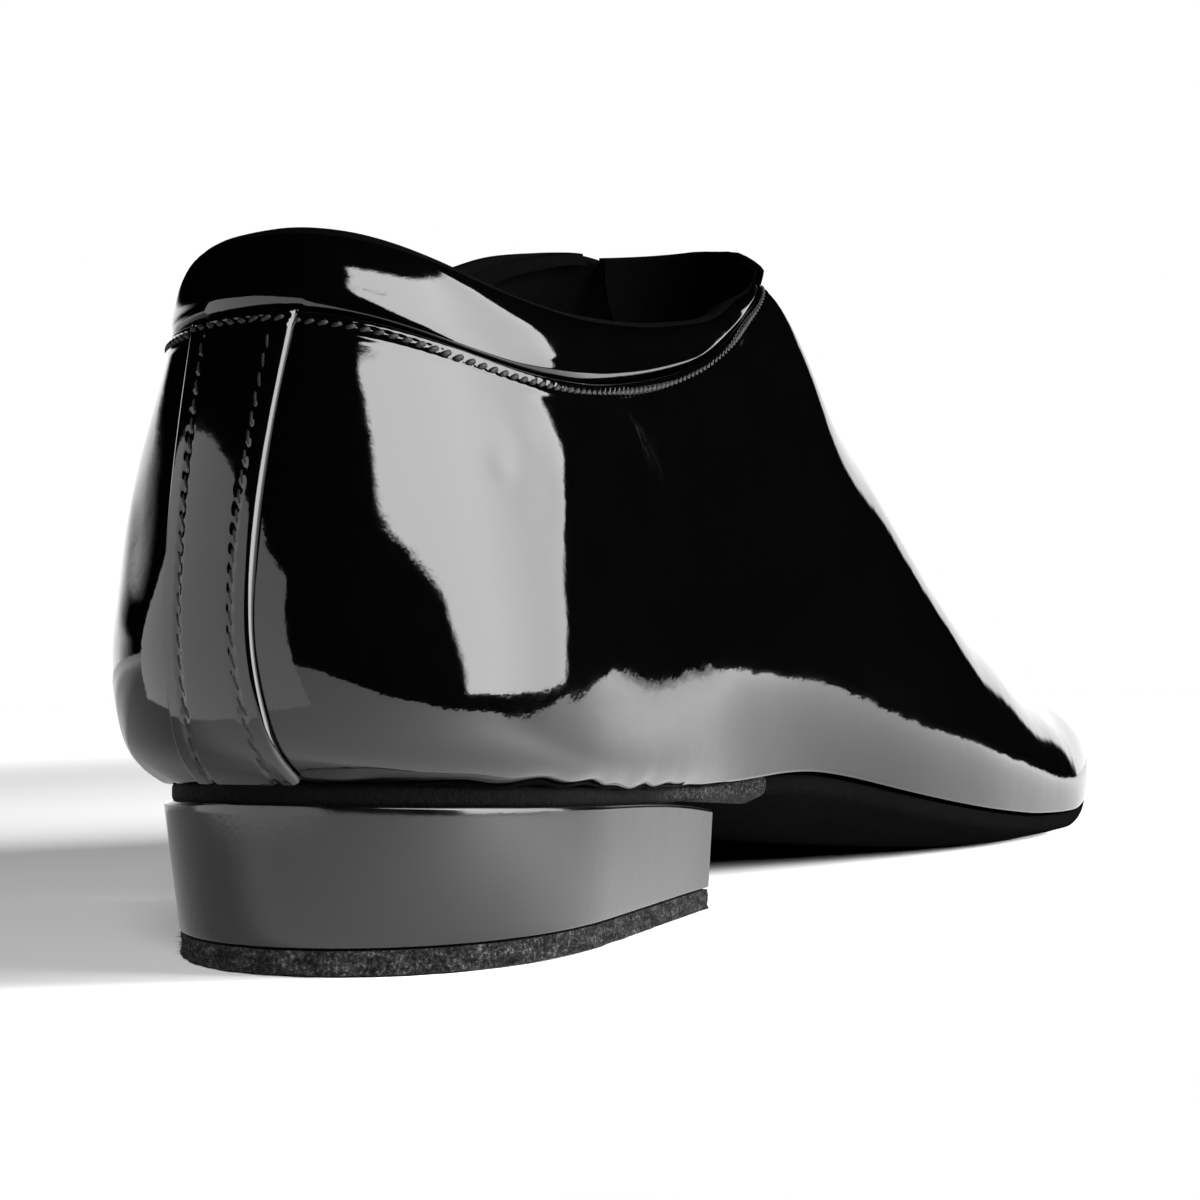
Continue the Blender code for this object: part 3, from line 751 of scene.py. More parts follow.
class Finish(Nodes):
    """Nodes of one material round its Principled shader."""

    def __init__(self, name):
        self.material = bpy.data.materials.new(name)
        self.material.use_nodes = True
        super().__init__(self.material.node_tree)
        self.shader = self.tree.nodes["Principled BSDF"]

    def set(self, **sockets):
        """Feeds the Principled shader's sockets, named with underscores for spaces."""
        for name, value in sockets.items():
            feed(self.tree, self.shader.inputs[name.replace("_", " ")], value)

    def place(self):
        """Place on the piece, in metres."""
        return self.node("ShaderNodeTexCoord", output="Object")

    def noise(self, size, detail=2.0, rough=0.5, stretch=None):
        """Noise with features of a size in metres, from 0 to 1."""
        place = self.place()
        if stretch is not None:
            place = self.node("ShaderNodeMapping", None, {"Vector": place, "Scale": stretch})
        return self.node(
            "ShaderNodeTexNoise", {"noise_dimensions": "3D"},
            {"Vector": place, "Scale": 1 / size, "Detail": detail, "Roughness": rough}, "Fac")

    def mix(self, factor, one, other):
        """Colour between two colours."""
        return self.node(
            "ShaderNodeMix", {"data_type": "RGBA"}, {"Factor": factor, 6: one, 7: other}, 2)

    def bump(self, height, depth):
        """Normal from a height of 0 to 1 that stands for a depth in metres."""
        return self.node("ShaderNodeBump", None, {"Height": height, "Distance": depth, "Strength": 1.0})

    def rise(self, value, limits, start=0.0, end=1.0):
        """Smooth step from start to end, as the value goes from one limit to the other."""
        return self.node(
            "ShaderNodeMapRange", {"interpolation_type": "SMOOTHSTEP"},
            {"Value": value, "From Min": limits[0], "From Max": limits[1], "To Min": start, "To Max": end})

    def speckle(self, value):
        """Grey of speckled fibre."""
        return self.node("ShaderNodeValToRGB", {"stops": FIBRE_STOPS}, {"Fac": value})


def set_stops(ramp, stops):
    """Gives a colour ramp its stops: place and grey value."""
    while len(ramp.elements) < len(stops):
        ramp.elements.new(0.5)
    for element, (place, grey) in zip(ramp.elements, stops):
        element.position = place
        element.color = (grey, grey, grey, 1.0)


def rgba(colour, factor=1.0):
    """Colour socket value from a colour property."""
    return (colour[0] * factor, colour[1] * factor, colour[2] * factor, 1.0)


def patent_finish(name, colour, peel=PEEL):
    """Lacquered leather: black under a mirror coat with a faint peel and hazy smears."""
    finish = Finish(name)
    smear = finish.noise(0.012, 3.0, 0.6) * finish.noise(0.0016, 2.0, 0.5)
    fine = finish.noise(0.0011, 2.0, 0.5)
    broad = finish.noise(0.005, 1.0, 0.4)
    finish.set(
        Base_Color=finish.mix(smear, rgba(colour), rgba(colour, 2.2)),
        Roughness=0.02 + HAZE * smear,
        Specular_IOR_Level=0.5,
        IOR=1.5,
        Normal=finish.bump(fine * 0.4 + broad * 2.0, peel),
    )
    return finish.material


def heel_finish(name, colour):
    """Lacquered leather drawn over the heel block, with a softer shine and a faint upright drag."""
    finish = Finish(name)
    drag = finish.noise(0.004, 3.0, 0.6, (1.0, 1.0, 0.15))
    fine = finish.noise(0.0009, 2.0, 0.5)
    finish.set(
        Base_Color=finish.mix(drag, rgba(colour, 1.5), rgba(colour, 3.0)),
        Roughness=0.1 + 0.12 * drag,
        Specular_IOR_Level=0.5,
        Normal=finish.bump(fine * 0.7 + drag, 0.00002),
    )
    return finish.material


def suede_finish(name, colour):
    """Napped leather: fibre clumps and wear, painted shade in the nap's hollows, painted highlight on its
    tips.
    """
    finish = Finish(name)
    nap = finish.noise(0.0007, 4.0, 0.7)
    clump = finish.noise(0.006, 3.0, 0.6)
    worn = finish.noise(0.03, 2.0, 0.5)
    # Painted shade and highlight: darker in the bump's hollows, paler on its tips; the worn tone is real
    tone = nap * 0.6 + clump * 0.3 + worn * 0.2
    finish.set(
        Base_Color=finish.mix(tone, rgba(colour, 0.25), rgba(colour, 1.9)),
        Roughness=0.95,
        Specular_IOR_Level=0.0,
        Normal=finish.bump(nap + clump * 0.8, 0.0004),
    )
    return finish.material


def fibre_finish(name, colour):
    """Pressed fibre: speckled, matt, with torn threads along the edge."""
    finish = Finish(name)
    speck = finish.noise(0.0005, 3.0, 0.75)
    thread = finish.noise(0.0012, 3.0, 0.6, (0.35, 0.35, 1.0))
    tone = finish.speckle(speck * 0.7 + thread * 0.3)
    finish.set(
        Base_Color=finish.mix(tone, rgba(colour, 0.12), rgba(colour, 7.0)),
        Roughness=0.9,
        Specular_IOR_Level=0.1,
        Normal=finish.bump(speck + thread, 0.0005),
    )
    return finish.material


def lining_finish(name, colour):
    """Soft leather with a fine pebble grain."""
    finish = Finish(name)
    pebble = finish.node(
        "ShaderNodeTexVoronoi", {"feature": "SMOOTH_F1"},
        {"Vector": finish.place(), "Scale": 1 / 0.0013, "Smoothness": 0.6}, "Distance")
    tone = finish.noise(0.01, 3.0, 0.6)
    finish.set(
        Base_Color=finish.mix(tone, rgba(colour, 0.7), rgba(colour, 1.6)),
        Roughness=0.75 + 0.2 * tone,
        Specular_IOR_Level=0.015,
        Normal=finish.bump(pebble, 0.00015),
    )
    return finish.material


def thread_finish(name, colour):
    """Twisted thread, a little waxed."""
    finish = Finish(name)
    ply = finish.noise(0.0003, 2.0, 0.5)
    finish.set(
        Base_Color=finish.mix(ply, rgba(colour, 0.5), rgba(colour, 2.5)),
        Roughness=0.5 + 0.2 * ply,
        Specular_IOR_Level=0.3,
        Normal=finish.bump(ply, 0.0001),
    )
    return finish.material


def edge_finish(name, ink, fibre):
    """Black edge ink on the heel seat, worn through to speckled fibre towards the waist."""
    finish = Finish(name)
    grain = finish.noise(0.0008, 3.0, 0.6)
    speck = finish.noise(0.0005, 3.0, 0.75)
    along = finish.node("ShaderNodeSeparateXYZ", None, {"Vector": finish.place()}, "X")
    worn = finish.rise(along + (grain - 0.5) * INK_BEFORE, (INK_END - INK_BEFORE, INK_END + INK_PAST))
    shown = finish.mix(finish.speckle(speck), rgba(fibre, 0.1), rgba(fibre, 5.0))
    finish.set(
        Base_Color=finish.mix(worn, finish.mix(grain, rgba(ink, 0.1), rgba(ink, 0.6)), shown),
        Roughness=0.6 + 0.3 * grain,
        Specular_IOR_Level=0.06,
        Normal=finish.bump(grain + speck, 0.0004),
    )
    return finish.material


def puckers(points):
    """How deep the small puckers of the near quarter are at each point."""
    deep = np.zeros(points.shape[:-1])
    for x, z, reach, depth in PUCKERS:
        away = np.hypot(points[..., 0] - x, points[..., 2] - z)
        deep += depth * np.exp(-(away / reach) ** 2)
    return deep


def upper_side(side, stations, sizes):
    """Grid of one side of the upper: over the folded edge, down the wall and in under the foot bed."""
    at = share(stations)
    seam = seam_t(stations, side)
    rate = rate_up(stations, seam, side)
    run = lengths(wall(stations, seam, side))
    roll = WALL / 2 * np.sqrt(np.clip((THROAT_END - at) / 0.02, 0, 1))
    turn = np.radians(FOLD)[None, :]
    drop_rim = roll[:, None] * (1 - np.sin(turn))
    out_rim = roll[:, None] * (np.cos(turn) - 1)
    part = np.linspace(0, 1, BAND_ROWS + 1)[None, :]
    drop_band = roll[:, None] + (BAND_DEPTH - roll[:, None]) * part
    drop = np.concatenate([drop_rim, drop_band], 1)
    t = seam[:, None] - drop / rate[:, None]
    low = np.linspace(1, 0, WALL_ROWS + 1)[None, 1:] ** 1.35
    t = np.concatenate([t, t[:, -1:] * low], 1)
    s = stations[:, None] + 0 * t
    plain = wall(s, t, side)
    out = ripple(plain, sizes.ripple_length / MM, sizes.ripple / MM)
    out = out * (CALM + (1 - CALM) * ease(t, *CALM_RISE))
    full = WAIST_FULL * np.exp(-((at - WAIST_FULL_AT) / WAIST_FULL_REACH) ** 2)[:, None]
    out += (full * (1 - ease(t, *WAIST_FULL_RISE)) - puckers(plain)) * (side == INNER)
    from_row = drop_band - sizes.stitch_drop / MM
    dent = stitch_dent(run[:, None], from_row, sizes.stitch_pitch / MM, sizes.groove / MM)
    rim = len(FOLD)
    out[:, :rim] = out_rim
    out[:, rim:rim + BAND_ROWS + 1] += dent * (at < THROAT_END + 0.01)[:, None]
    grid = plain + wall_normal(s, t, side) * out[..., None]
    margin = margin_rows(stations, side)
    grid = np.concatenate([grid, margin], 1)
    low = np.clip(1 - t / LASTED_RISE, 0, 1) ** 1.5
    low = np.concatenate([low, np.ones(margin.shape[:2])], 1)
    uneven = ripple(grid, LASTED_WAVE, LASTED_HEIGHT, RIPPLE_SEED + 3)
    grid[..., 2] += low * uneven * (1 - ease(at, *LASTED_END))[:, None]
    return grid


def margin_rows(stations, side):
    """The lasted edge, turned in over the sole."""
    at = share(stations)
    rows = []
    for inset in (0.8, LASTING_MARGIN):
        half = np.maximum(SECTION["half"](at) - inset, 0.0) * end_round(at)
        x = inset + (LENGTH - 2 * inset) * at
        across = side * np.ones_like(at)
        z = sole_under(at, across) + sole_thickness(at) + GAP * 0.5
        rows.append(np.stack([x, SECTION["centre"](at) + side * half, z], -1))
    return np.stack(rows, 1)


def join_sides(stations, inner, outer, first_open):
    """One grid from the toe along the inner side, round the heel and back, welded on the ridge."""
    count = len(stations)
    grid = np.concatenate([inner[::-1], outer[1:]])
    for i in np.nonzero(share(stations) >= THROAT_END - 1e-9)[0]:
        left, right = count - 1 - i, count - 1 + i
        middle = (grid[left, :first_open + 1] + grid[right, :first_open + 1]) / 2
        grid[left, :first_open + 1] = middle
        grid[right, :first_open + 1] = middle
    toe = (grid[0] + grid[-1]) / 2
    grid[0] = toe
    grid[-1] = toe
    return grid


class SHOE_OT_upper(bpy.types.Operator):
    """Lasted patent upper with its folded, stitched edge"""
    bl_idname = "shoe.upper"
    bl_label = "Upper"

    def execute(self, context):
        sizes = context.scene.shoe_sizes
        edge = edge_stations(EDGE_SPACING)
        stations = np.concatenate([edge, np.linspace(edge[-1], 1, TOE_STATIONS + 1)[1:]])
        sides = [upper_side(side, stations, sizes) for side in (INNER, OUTER)]
        rim = len(FOLD)
        grid = join_sides(stations, sides[0], sides[1], rim)
        rows, cols = grid.shape[:2]
        faces = grid_faces(rows, cols)
        closed = np.concatenate([stations[::-1], stations[1:]]) > edge[-1] - 1e-9
        row = faces[:, 0] // cols
        column = faces[:, 0] % cols
        keep = ~((column < rim) & closed[row] & closed[row + 1])
        colours = context.scene.shoe_colours
        finishes = [patent_finish("patent", colours.patent), lining_finish("rim", colours.lining)]
        lined = (column[keep] < FOLD_LINED).astype(int)
        points = grid.reshape(-1, 3)
        new_piece("upper", points, faces[keep], finishes, ("upper",), lined, sharp=1.4)
        return {"FINISHED"}


class SHOE_OT_lining(bpy.types.Operator):
    """Leather lining inside the upper"""
    bl_idname = "shoe.lining"
    bl_label = "Lining"

    def execute(self, context):
        stations = np.sort(np.append(np.linspace(0, 1, LINING_STATIONS + 1), station(THROAT_END)))
        skins = []
        for depth in LINING_DEPTHS:
            sides = []
            for side in (INNER, OUTER):
                seam = seam_t(stations, side)
                below = np.where(share(stations) < THROAT_END, 1.0, 0.0)
                top = seam - below / rate_up(stations, seam, side)
                t = top[:, None] * np.linspace(1, 0.01, LINING_ROWS + 1)[None, :]
                out = np.full_like(t, -WALL * depth)
                sides.append(wall_offset(stations[:, None] + 0 * t, t, side, out))
            skins.append(join_sides(stations, sides[0], sides[1], 0))
        points, faces = shell(skins[0], skins[1])
        finish = lining_finish("lining", context.scene.shoe_colours.lining)
        new_piece("upper_lining", points, faces, [finish])
        return {"FINISHED"}


def collar_profile(height, pad, swell, stand):
    """Section of the collar band above the seam: places up from it and out from the wall's surface."""
    front = -COLLAR_SET_BACK
    back = front - pad
    return (
        (np.minimum(0.4, height * 0.05), front - 0.25 * np.clip(height / 3, 0.1, 1)),
        (height * 0.13, front + 0.42 * swell + 0.13 * stand),
        (height * 0.37, front + 0.84 * swell + 0.37 * stand),
        (height * 0.64, front + 1.0 * swell - 0.04 * pad + 0.64 * stand),
        (height * 0.85, front + 0.7 * swell - 0.14 * pad + 0.7 * stand),
        (height, front - 0.45 * pad + 0.4 * stand),
        (height - np.minimum(0.1 * pad, height * 0.1), front - 0.84 * pad),
        (height - np.minimum(0.45 * pad, height * 0.4), back),
        (height * 0.3, back + 0.04 * pad),
    )


def collar_sections(stations, side):
    """Section loops of the collar band: the lap behind the upper's edge, then the padded part."""
    at = share(stations)
    height = np.maximum(COLLAR_HEIGHT(at), 0.05)[:, None]
    taper = np.clip(height / 1.2, 0.1, 1.0)
    pad = (COLLAR_PAD_FRONT + (COLLAR_PAD - COLLAR_PAD_FRONT) * np.clip(height / 9.0, 0, 1)) * taper
    lap = COLLAR_LAP * np.clip(height / 6.0, 0.4, 1.0) * taper
    seam = seam_t(stations, side)
    foot = wall(stations, seam, side)
    normal = wall_normal(stations, seam, side)
    way = wall(stations, np.ones_like(stations), side) - foot
    tangent = unit(way - normal * np.sum(way * normal, -1, keepdims=True))
    out = unit(normal * np.array((1.0, 1.0, 0.0)))
    behind = -WALL - GAP
    bottom = np.minimum(-COLLAR_SET_BACK - pad, behind - 1.0)
    points = [foot - tangent * lap + normal * (behind - 0.15), foot + normal * behind]
    upright = ease(at, 0.002, 0.014) * (1 - ease(at, 0.03, 0.11)) * (side == INNER)
    swell = COLLAR_SWELL_BACK + (COLLAR_SWELL - COLLAR_SWELL_BACK) * ease(at, 0.02, 0.1)
    swell = swell * (1 - 0.8 * upright)
    tall = np.clip(height / 10, 0, 1)
    profile = collar_profile(height, pad, swell[:, None] * tall, COLLAR_STAND * upright[:, None] * tall)
    points += [foot + way * (up / height) + out * place for up, place in profile]
    points += [foot - tangent * lap * 0.4 + normal * bottom, foot - tangent * lap + normal * (behind - 1.0)]
    return smooth_loop(np.stack(points, 1), COLLAR_STEPS)


class SHOE_OT_collar(bpy.types.Operator):
    """Padded patent band along the top line"""
    bl_idname = "shoe.collar"
    bl_label = "Collar"

    def execute(self, context):
        sizes = context.scene.shoe_sizes
        stations = edge_stations(COLLAR_SPACING)
        stations = stations[share(stations) < CORNER - 0.001]
        inner = collar_sections(stations, INNER)
        outer = collar_sections(stations, OUTER)
        loops = np.concatenate([inner[::-1], outer[1:]])
        swell = ripple(loops, sizes.ripple_length / MM, sizes.ripple / MM, RIPPLE_SEED + 1)
        swell = swell * np.clip(np.ptp(loops[..., 2], axis=1) / 6 - 0.2, 0, 1)[:, None]
        away = unit(loops - loops.mean(1, keepdims=True))
        points, faces = tube(loops + away * swell[..., None])
        colours = context.scene.shoe_colours
        finishes = [
            patent_finish("collar_patent", colours.patent),
            lining_finish("collar_lining", colours.lining),
        ]
        around = loops.shape[1]
        lined = [1 if face[0] % around >= LINING_FROM else 0 for face in faces]
        piece = new_piece("collar", points, faces, finishes, ("collar",), lined, sharp=1.4)
        return {"FINISHED"}


def backstay_place(t, y):
    """Stations where the wall stands at y from the centre line near the heel's back, found by halving."""
    t, y = np.broadcast_arrays(t, y)
    low = np.zeros(t.shape)
    high = np.full(t.shape, float(station(HEEL_END)))
    for _ in range(30):
        middle = (low + high) / 2
        reach = np.where(y < 0, -wall(middle, t, INNER)[..., 1], wall(middle, t, OUTER)[..., 1])
        short = reach < np.abs(y)
        low = np.where(short, middle, low)
        high = np.where(short, high, middle)
    return (low + high) / 2


def back_surface(t, y, out):
    """Points off the wall at the heel's back, by place up the wall and width from the centre line."""
    t, y = np.broadcast_arrays(t, y)
    s = backstay_place(t, y)
    out = np.broadcast_to(out, t.shape)
    inner = wall_offset(s, t, INNER, out)
    outer = wall_offset(s, t, OUTER, out)
    return np.where((y < 0)[..., None], inner, outer)


def backstay_rise():
    """Place up the wall of the backstay's top, and the length of wall below it."""
    top = float(seam_t(np.zeros(1), INNER)[0])
    t = np.linspace(BACKSTAY_FOOT * top, top, 200)
    run = lengths(wall(np.zeros_like(t), t, INNER))
    return top, t, run


def backstay_height(below_top, from_edge, outer, sizes):
    """How far the backstay stands out: turned down at its top and inner edge, square at the outer one."""
    width = sizes.backstay_edge / MM
    side = np.sqrt(np.clip(1 - np.clip(1 - from_edge / width, 0, 1) ** 2, 0, 1))
    side = np.where(outer, 1.0 * (from_edge > 0.02), side)
    top = np.sqrt(np.clip(1 - np.clip(1 - below_top / width, 0, 1) ** 2, 0, 1))
    return sizes.backstay / MM * side * top


class SHOE_OT_backstay(bpy.types.Operator):
    """Strip over the heel's back seam, stitched along both edges"""
    bl_idname = "shoe.backstay"
    bl_label = "Backstay"

    def execute(self, context):
        sizes = context.scene.shoe_sizes
        top, fine, run = backstay_rise()
        up = np.linspace(0, run[-1], BACKSTAY_ROWS + 1)
        t = np.interp(up, run, fine)[:, None]
        half = STAY["half"](t / top)
        across = np.sin(np.linspace(-np.pi / 2, np.pi / 2, BACKSTAY_COLS + 1))[None, :] * 0.35
        across = across + np.linspace(-1, 1, BACKSTAY_COLS + 1)[None, :] * 0.65
        y = STAY["middle"](t / top) + half * across
        from_edge = half * (1 - np.abs(across))
        below_top = (run[-1] - up)[:, None]
        height = backstay_height(below_top, from_edge, across > 0, sizes)
        groove = sizes.groove / MM
        row = stitch_dent(up[:, None], from_edge - sizes.stitch_inset / MM, sizes.stay_pitch / MM, groove)
        cross = stitch_dent(y, below_top - sizes.stitch_drop / MM, sizes.stitch_pitch / MM, groove)
        outside = back_surface(t, y, STAY_CLEAR + height + np.minimum(row, cross) * (height > 0.6))
        inside = back_surface(t, y, np.full_like(y, STAY_CLEAR / 2))
        points, faces = shell(outside, inside)
        finish = patent_finish("backstay_patent", context.scene.shoe_colours.patent, STAY_PEEL)
        new_piece("backstay", points, faces, [finish], ("backstay",), sharp=1.4)
        return {"FINISHED"}


def stitch_loops(middle, along, normal, length, thick, slant):
    """Sections of one visible stitch: a thread that rises out of a needle hole and dips into the next."""
    place = np.linspace(-1, 1, STITCH_RINGS)
    angle = np.linspace(0, 2 * np.pi, STITCH_AROUND, endpoint=False)
    across = np.cross(normal, along)
    forward = along * np.cos(slant) + across * np.sin(slant)
    sideways = np.cross(normal, forward)
    radius = thick / 2 * (1 - 0.45 * place ** 6)
    rise = thick * (0.42 * (1 - place ** 2) - 0.3)
    spine = middle + forward * (place * length / 2)[:, None] + normal * rise[:, None]
    ring = np.cos(angle)[:, None] * sideways + np.sin(angle)[:, None] * normal * 0.85
    return spine[:, None, :] + ring[None, :, :] * radius[:, None, None]


def sew(name, places, alongs, normals, length, thick, slant, finish):
    """One piece of all the stitches of a row."""
    points, faces = [], []
    for middle, along, normal in zip(places, alongs, normals):
        made, quads = tube(stitch_loops(middle, along, normal, length, thick, slant))
        first = len(points) * len(made)
        points.append(made)
        faces += [[first + k for k in face] for face in quads]
    return new_piece(name, np.concatenate(points), faces, [finish])


def edge_row(side, sizes):
    """Middles, directions and normals of the stitches below the folded edge of one side."""
    fine = np.linspace(0, station(THROAT_END - 0.004), 4000)
    seam = seam_t(fine, side)
    t = seam - sizes.stitch_drop / MM / rate_up(fine, seam, side)
    run = lengths(wall(fine, seam, side))
    pitch = sizes.stitch_pitch / MM
    wanted = np.arange(0.5 * pitch, run[-1] - pitch, pitch)
    s = np.interp(wanted, run, fine)
    t = np.interp(wanted, run, t)
    base = wall(s, t, side)
    along = unit(wall(s + 1e-4, t, side) - wall(s - 1e-4, t, side))
    normal = wall_normal(s, t, side)
    top_half = float(STAY["half"](1.0))
    over_stay = np.abs(base[:, 1] - float(STAY["middle"](1.0))) < top_half - 0.4
    near_back = base[:, 0] < 40
    lift = np.where(over_stay & near_back, sizes.backstay / MM, 0.0) - sizes.groove / MM * STITCH_SUNK
    return base + normal * lift[:, None], along, normal


def backstay_row(edge, sizes):
    """Middles, directions and normals of the stitches along one edge of the backstay."""
    top, fine, run = backstay_rise()
    pitch = sizes.stay_pitch / MM
    up = np.arange(1.5 * pitch, run[-1] - sizes.stitch_drop / MM - 0.3 * pitch, pitch)
    t = np.interp(up, run, fine)
    inset = sizes.stitch_inset / MM
    y = STAY["middle"](t / top) + edge * (STAY["half"](t / top) - inset)
    lift = sizes.backstay / MM + STAY_CLEAR - sizes.groove / MM * STITCH_SUNK
    base = back_surface(t, y, np.zeros_like(t))
    raised = back_surface(t, y, np.ones_like(t))
    normal = unit(raised - base)
    along = unit(np.gradient(base, axis=0))
    along = unit(along - normal * np.sum(along * normal, -1, keepdims=True))
    return base + normal * lift, along, normal


class SHOE_OT_stitches(bpy.types.Operator):
    """Stitch rows below the folded edge and along the backstay"""
    bl_idname = "shoe.stitches"
    bl_label = "Stitches"

    def execute(self, context):
        sizes = context.scene.shoe_sizes
        finish = thread_finish("thread", context.scene.shoe_colours.thread)
        thick = sizes.thread / MM
        length = sizes.stitch_pitch / MM * EDGE_STITCH
        for name, side in (("stitches_inner_edge", INNER), ("stitches_outer_edge", OUTER)):
            sew(name, *edge_row(side, sizes), length, thick, -side * math.radians(EDGE_SLANT), finish)
        length = sizes.stay_pitch / MM * STAY_STITCH
        slant = math.radians(STAY_SLANT)
        for name, edge in (("stitches_backstay_inner", INNER), ("stitches_backstay_outer", OUTER)):
            sew(name, *backstay_row(edge, sizes), length, thick * STAY_THREAD, slant, finish)
        return {"FINISHED"}


def tongue_grid(rows, cols):
    """Front face of the tongue through its table, with its normals."""
    table = np.array(TONGUE)
    run = lengths(table[:, :3])
    even = np.linspace(0, run[-1], rows + 1)
    value = {name: spline(run, table[:, i])(even)[:, None] for i, name in enumerate(TONGUE_COLUMNS)}
    p = np.linspace(-1, 1, cols + 1)[None, :]
    near_top = np.clip(1 - (run[-1] - even) / TONGUE_CORNER, 0, 1)[:, None]
    flare = np.clip(1 - (run[-1] - even) / TONGUE_FLARE, 0, 1)[:, None]
    inner = 1 + TONGUE_FLARE_IN * flare - TONGUE_CUT * near_top ** 1.6
    reach = np.where(p < 0, inner, 1 + TONGUE_FLARE_OUT * flare)
    dip = np.where(p < 0, 1.0, 0.35)
    value["z"] = value["z"] + TONGUE_RISE * flare
    front = np.stack([
        value["x"] - value["back"] * p * p,
        value["y"] + value["half"] * reach * p,
        value["z"] - value["down"] * dip * p * p,
    ], -1)
    normal = unit(np.cross(np.gradient(front, axis=0), np.gradient(front, axis=1)))
    if normal[0, cols // 2, 2] < 0:
        normal = -normal
    return front, normal


class SHOE_OT_tongue(bpy.types.Operator):
    """Tongue under the throat, with its inner facing"""
    bl_idname = "shoe.tongue"
    bl_label = "Tongue"

    def execute(self, context):
        front, normal = tongue_grid(TONGUE_ROWS, TONGUE_COLS)
        rows, cols = front.shape[:2]
        from_side = 1 - np.abs(np.linspace(-1, 1, cols))[None, :]
        from_top = np.linspace(1, 0, rows)[:, None]
        near_edge = np.minimum(from_side * 11.0, from_top * 70.0)
        round_edge = np.sqrt(np.clip(1 - np.clip(1 - near_edge / 0.8, 0, 1) ** 2, 0, 1))
        middle = front - normal * TONGUE_THICKNESS / 2
        half = normal * (TONGUE_THICKNESS / 2 * (0.15 + 0.85 * round_edge))[..., None]
        points, faces = shell(middle + half, middle - half)
        colours = context.scene.shoe_colours
        finishes = [
            patent_finish("tongue_patent", colours.patent),
            lining_finish("tongue_edge", colours.lining),
        ]
        matt = (np.arange(len(faces)) >= (rows - 1) * (cols - 1)).astype(int)
        new_piece("tongue", points, faces, finishes, ("tongue",), matt, sharp=1.4)
        back = (middle - half)[:-1, 1:-1]
        away = normal[:-1, 1:-1]
        points, faces = shell(back - away * 0.05, back - away * 0.5)
        facing = lining_finish("tongue_lining", colours.lining)
        new_piece("tongue_facing", points, faces, [facing])
        return {"FINISHED"}


def plate_sections(inset, under, thickness, corner):
    """Section loops of a sole plate with rounded edges, from heel to toe."""
    at = share(np.linspace(0, 1, SOLE_STATIONS + 1))
    at = np.clip(at, 1e-6, 1 - 1e-6)[:, None]
    half = np.maximum(SECTION["half"](at) - inset, 0.0) * end_round(at)
    turn = np.linspace(0, np.pi / 2, 5)[None, :]
    share_in = np.minimum(corner / np.maximum(half, 1e-6), 0.5)
    flat = np.linspace(-1, 1, SOLE_COLUMNS + 1)[None, 1:-1] * (1 - share_in)
    arc = 1 - share_in + share_in * np.sin(turn)
    lift = corner * (1 - np.cos(turn)) + 0 * at
    across = np.concatenate([-arc[:, ::-1], flat, arc], 1)
    raised = np.concatenate([lift[:, ::-1], 0 * flat, lift], 1)
    x = inset + (LENGTH - 2 * inset) * at + 0 * across
    y = SECTION["centre"](at) + across * half
    low = under(at + 0 * across, across)
    bottom = np.stack([x, y, low + raised], -1)
    above = np.stack([x, y, low + thickness(at) - raised], -1)
    return np.concatenate([bottom, above[:, ::-1]], 1), at[:, 0]


class SHOE_OT_sole(bpy.types.Operator):
    """Outsole with its napped underside and inked heel seat, and the insole"""
    bl_idname = "shoe.sole"
    bl_label = "Sole"

    def execute(self, context):
        colours = context.scene.shoe_colours
        suede = suede_finish("suede", colours.suede)
        edge = edge_finish("sole_edge", colours.thread, colours.fibre)

        def seat(at_share):
            return 1 - ease(at_share, SEAT_END, HEEL_LENGTH / LENGTH - 0.008)

        def tread(at_share, across):
            return sole_under(at_share, across) - SEAT_FILL * seat(at_share)

        def thickness(at_share):
            return sole_thickness(at_share) + 1.6 * SEAT_FILL * seat(at_share)

        sections, at = plate_sections(SOLE_INSET, tread, thickness, SOLE_CORNER)
        points, faces = tube(sections)
        cols = sections.shape[1]
        waist_rows = int(np.searchsorted(at, SOLE_EDGE_END))
        seat_rows = int(np.searchsorted(at, SEAT_END))
        face_finish = []
        for face in faces:
            row, column = divmod(face[0], cols)
            at_edge = min(column, cols - 1 - column, abs(column - cols // 2)) < SOLE_EDGE_COLUMNS
            face_finish.append(1 if row < seat_rows or at_edge and row < waist_rows else 0)
        new_piece("outsole", points, faces, [suede, edge], ("outsole",), face_finish, sharp=1.2)

        def bed_under(at_share, across):
            return sole_under(at_share, across) + sole_thickness(at_share) + GAP

        def bed_thickness(at_share):
            return np.full_like(at_share, INSOLE_THICKNESS)

        sections, _ = plate_sections(INSOLE_INSET, bed_under, bed_thickness, INSOLE_CORNER)
        points, faces = tube(sections)
        lining = lining_finish("insole_lining", colours.lining)
        new_piece("insole", points, faces, [lining], ("insole",), sharp=1.2)
        return {"FINISHED"}


def heel_loop(inset):
    """Plan of the heel, from the inner end of the breast round the back to its outer end."""
    end = HEEL_LENGTH / LENGTH
    at = share(np.linspace(0, station(end), HEEL_STATIONS + 1))
    half = (SECTION["half"](at) - inset * (1 - HEEL_BREAST_EASE * at / end)) * end_round(at)
    x = inset + (HEEL_LENGTH - 1.1 * inset) * at / end
    inner = np.stack([x, SECTION["centre"](at) - half], -1)
    outer = np.stack([x, SECTION["centre"](at) + half], -1)
    return np.concatenate([inner[::-1], outer[1:]]), np.concatenate([at[::-1], at[1:]])


def stack(levels):
    """Points and faces of a closed block through level loops that mirror across their middle point."""
    count = len(levels[0])
    points = np.concatenate(levels)
    faces = grid_faces(len(levels), count, wrap=True).tolist()
    last = (len(levels) - 1) * count
    for i in range(count // 2):
        j = count - 1 - i
        low = [i, i + 1, j - 1, j] if i + 1 < j - 1 else [i, i + 1, j]
        faces.append(low)
        faces.append([last + n for n in reversed(low)])
    return points, faces


